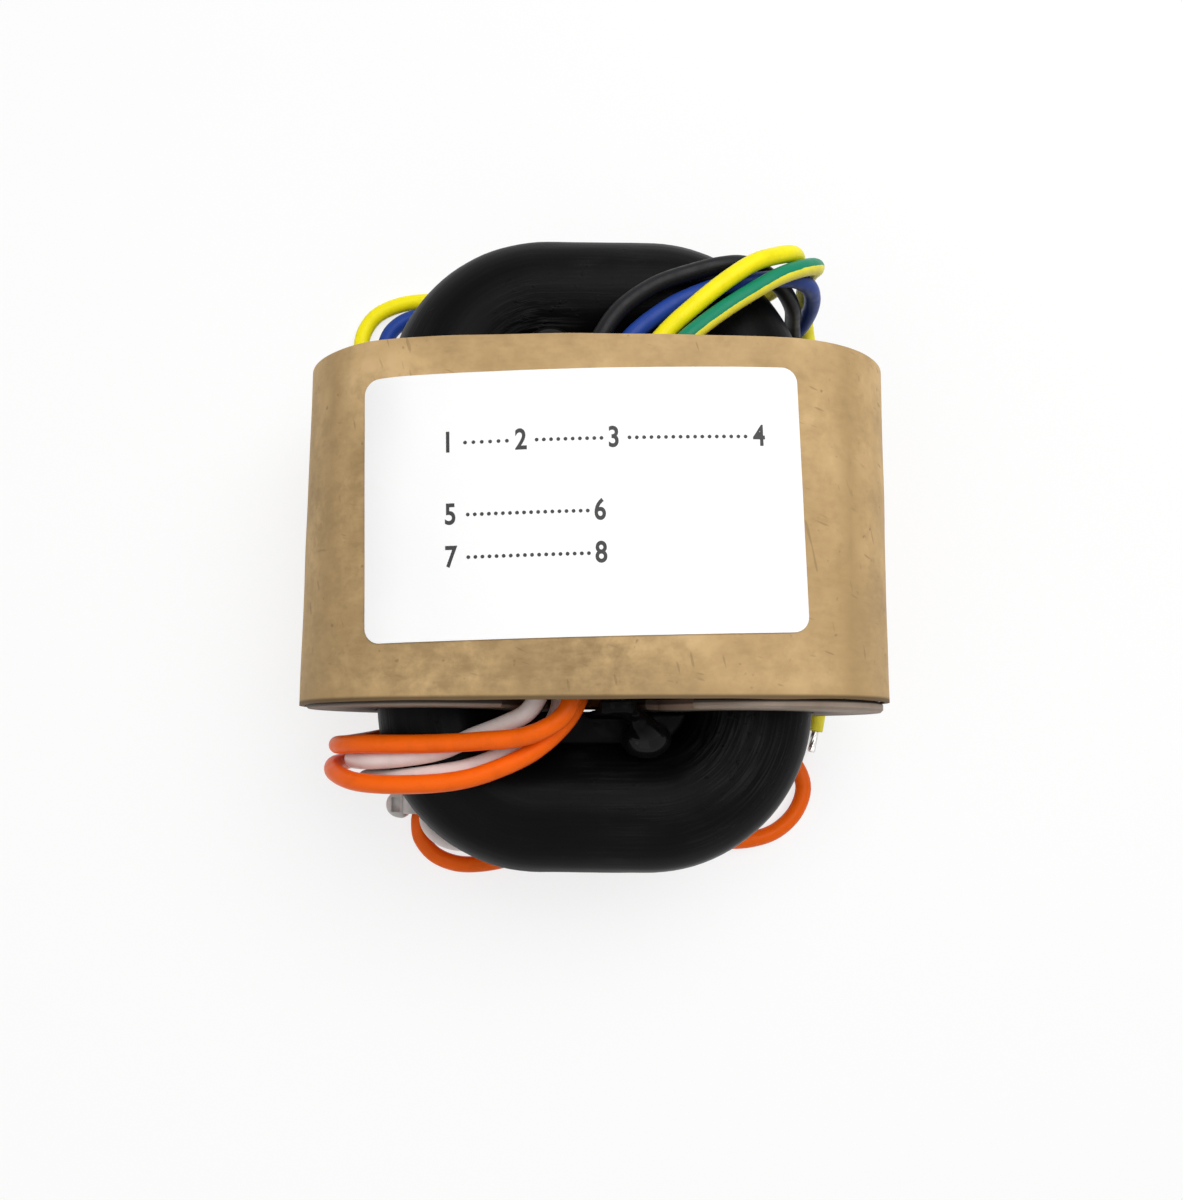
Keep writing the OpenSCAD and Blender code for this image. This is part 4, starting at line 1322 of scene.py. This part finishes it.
def windingMaterial(name, pitch, light, dark, depth):
    # turns of wire lie side by side along the coil
    material, tree, shader = startMaterial(name, Metallic=0.9)
    place = objectCoords(tree)
    along = axes(tree, place)["Y"]
    turns = maths(tree, "SINE", maths(tree, "MULTIPLY", along, 2 * math.pi / (pitch * mm)))
    cloud = noiseAt(tree, place, 240, 3, 0.5)
    tone = ramp(tree, cloud, [(0.3, dark), (0.7, light)])
    rough = varied(tree, cloud, 0.26, 0.42)
    feed(tree, shader, Base_Color=tone, Roughness=rough, Normal=bump(tree, turns, depth, 0.00008))
    return material


def filmMaterial():
    look = filmLook
    material, tree, shader = startMaterial("insulating film", Coat_Weight=0.15, Coat_Roughness=0.2)
    place = objectCoords(tree)
    along = axes(tree, place)["Y"]
    lap = maths(tree, "FRACT", maths(tree, "MULTIPLY", along, look["laps"]))
    cloud = noiseAt(tree, place, 160, 3, 0.5)
    tone = ramp(tree, cloud, [(0.3, look["dark"]), (0.7, look["light"])])
    tone = mixColour(tree, spread(tree, lap, 0.9, 1.0, 0.0, 0.4), tone, look["lap"])
    rough = varied(tree, cloud, *look["rough"])
    feed(tree, shader, Base_Color=tone, Roughness=rough, Normal=bump(tree, lap, 0.2, 0.00012))
    return material


carried = {part: windingMaterial(*look) for part, look in windingLooks.items()}
carried["bobbin_upper"] = carried["bobbin_lower"] = bobbinMaterial()
carried["primary_wrap"] = carried["screen_wrap"] = carried["outer_wrap"] = filmMaterial()
for side in ("left", "right"):
    for part, material in carried.items():
        nodes[side + "_" + part].material_slots[0].material = material
print("carried nodes finished")


# floor, lamps and world
studio = {
    "floor": 2400,
    "drop": 0.05,  # how far the floor lies below the object
    "card": (0.94, 0.96),
    "shown": 0.75,  # share of plain white in the floor as it is seen near the object
    "near": 150,
    "far": 500,  # all white from here on
    "sky": 0.17,
    "aim": 15,
}


def seen(tree):
    # 1 for rays that show the background, straight or mirrored, and 0 for its light on the object
    rays = put(tree, "ShaderNodeLightPath").outputs
    straight = maths(tree, "MAXIMUM", rays["Is Camera Ray"], rays["Is Transmission Ray"])
    return maths(tree, "MAXIMUM", straight, rays["Is Glossy Ray"])


def addFloor():
    size = studio["floor"]
    corners = [(-size, -size, 0), (size, -size, 0), (size, size, 0), (-size, size, 0)]
    floor = meshObject("floor", corners, [(0, 1, 2, 3)], smooth=False)
    floor.location.z = -studio["drop"] * mm
    material, tree, shader = startMaterial("floor card", Roughness=0.6)
    place = objectCoords(tree)
    cloud = noiseAt(tree, place, 9, 3, 0.5)
    dull, pale = studio["card"]
    tone = ramp(tree, cloud, [(0.3, (dull, dull, dull)), (0.7, (pale, pale, pale))])
    feed(tree, shader, Base_Color=tone)
    white = put(tree, "ShaderNodeEmission")
    away = distance(tree, place, (0, 0, 0))
    whiter = spread(tree, away, studio["near"] * mm, studio["far"] * mm, studio["shown"], 1.0)
    share = maths(tree, "MULTIPLY", seen(tree), whiter)
    card = put(tree, "ShaderNodeMixShader", {0: share, 1: shader.outputs[0], 2: white.outputs[0]})
    tree.links.new(card.outputs[0], tree.nodes["Material Output"].inputs["Surface"])
    floor.data.materials.append(material)


lamps = [
    # name, place in mm, size in mm, watts
    ("key", (170, 210, 500), 520, 2.95),
    ("fill", (-330, -160, 400), 500, 0.64),
    ("front", (-40, -420, 300), 380, 0.2),
]


def addLamps():
    for name, place, size, power in lamps:
        data = bpy.data.lights.new(name, "AREA")
        data.shape = "SQUARE"
        data.size = size * mm
        data.energy = power
        lamp = newObject(name, data)
        lamp.location = Vector(place) * mm
        aim = Vector((0, 0, studio["aim"])) * mm - lamp.location
        lamp.rotation_euler = aim.to_track_quat("-Z", "Y").to_euler()


def setWorld():
    world = bpy.data.worlds.new("studio")
    bpy.context.scene.world = world
    world.use_nodes = True
    tree = world.node_tree
    sky = tree.nodes["Background"]
    sky.inputs["Color"].default_value = (1, 1, 1, 1)
    strength = spread(tree, seen(tree), 0.0, 1.0, studio["sky"], 1.0)
    tree.links.new(strength, sky.inputs["Strength"])


addFloor()
addLamps()
setWorld()
bpy.context.scene.view_settings.view_transform = "Standard"
print("studio set")
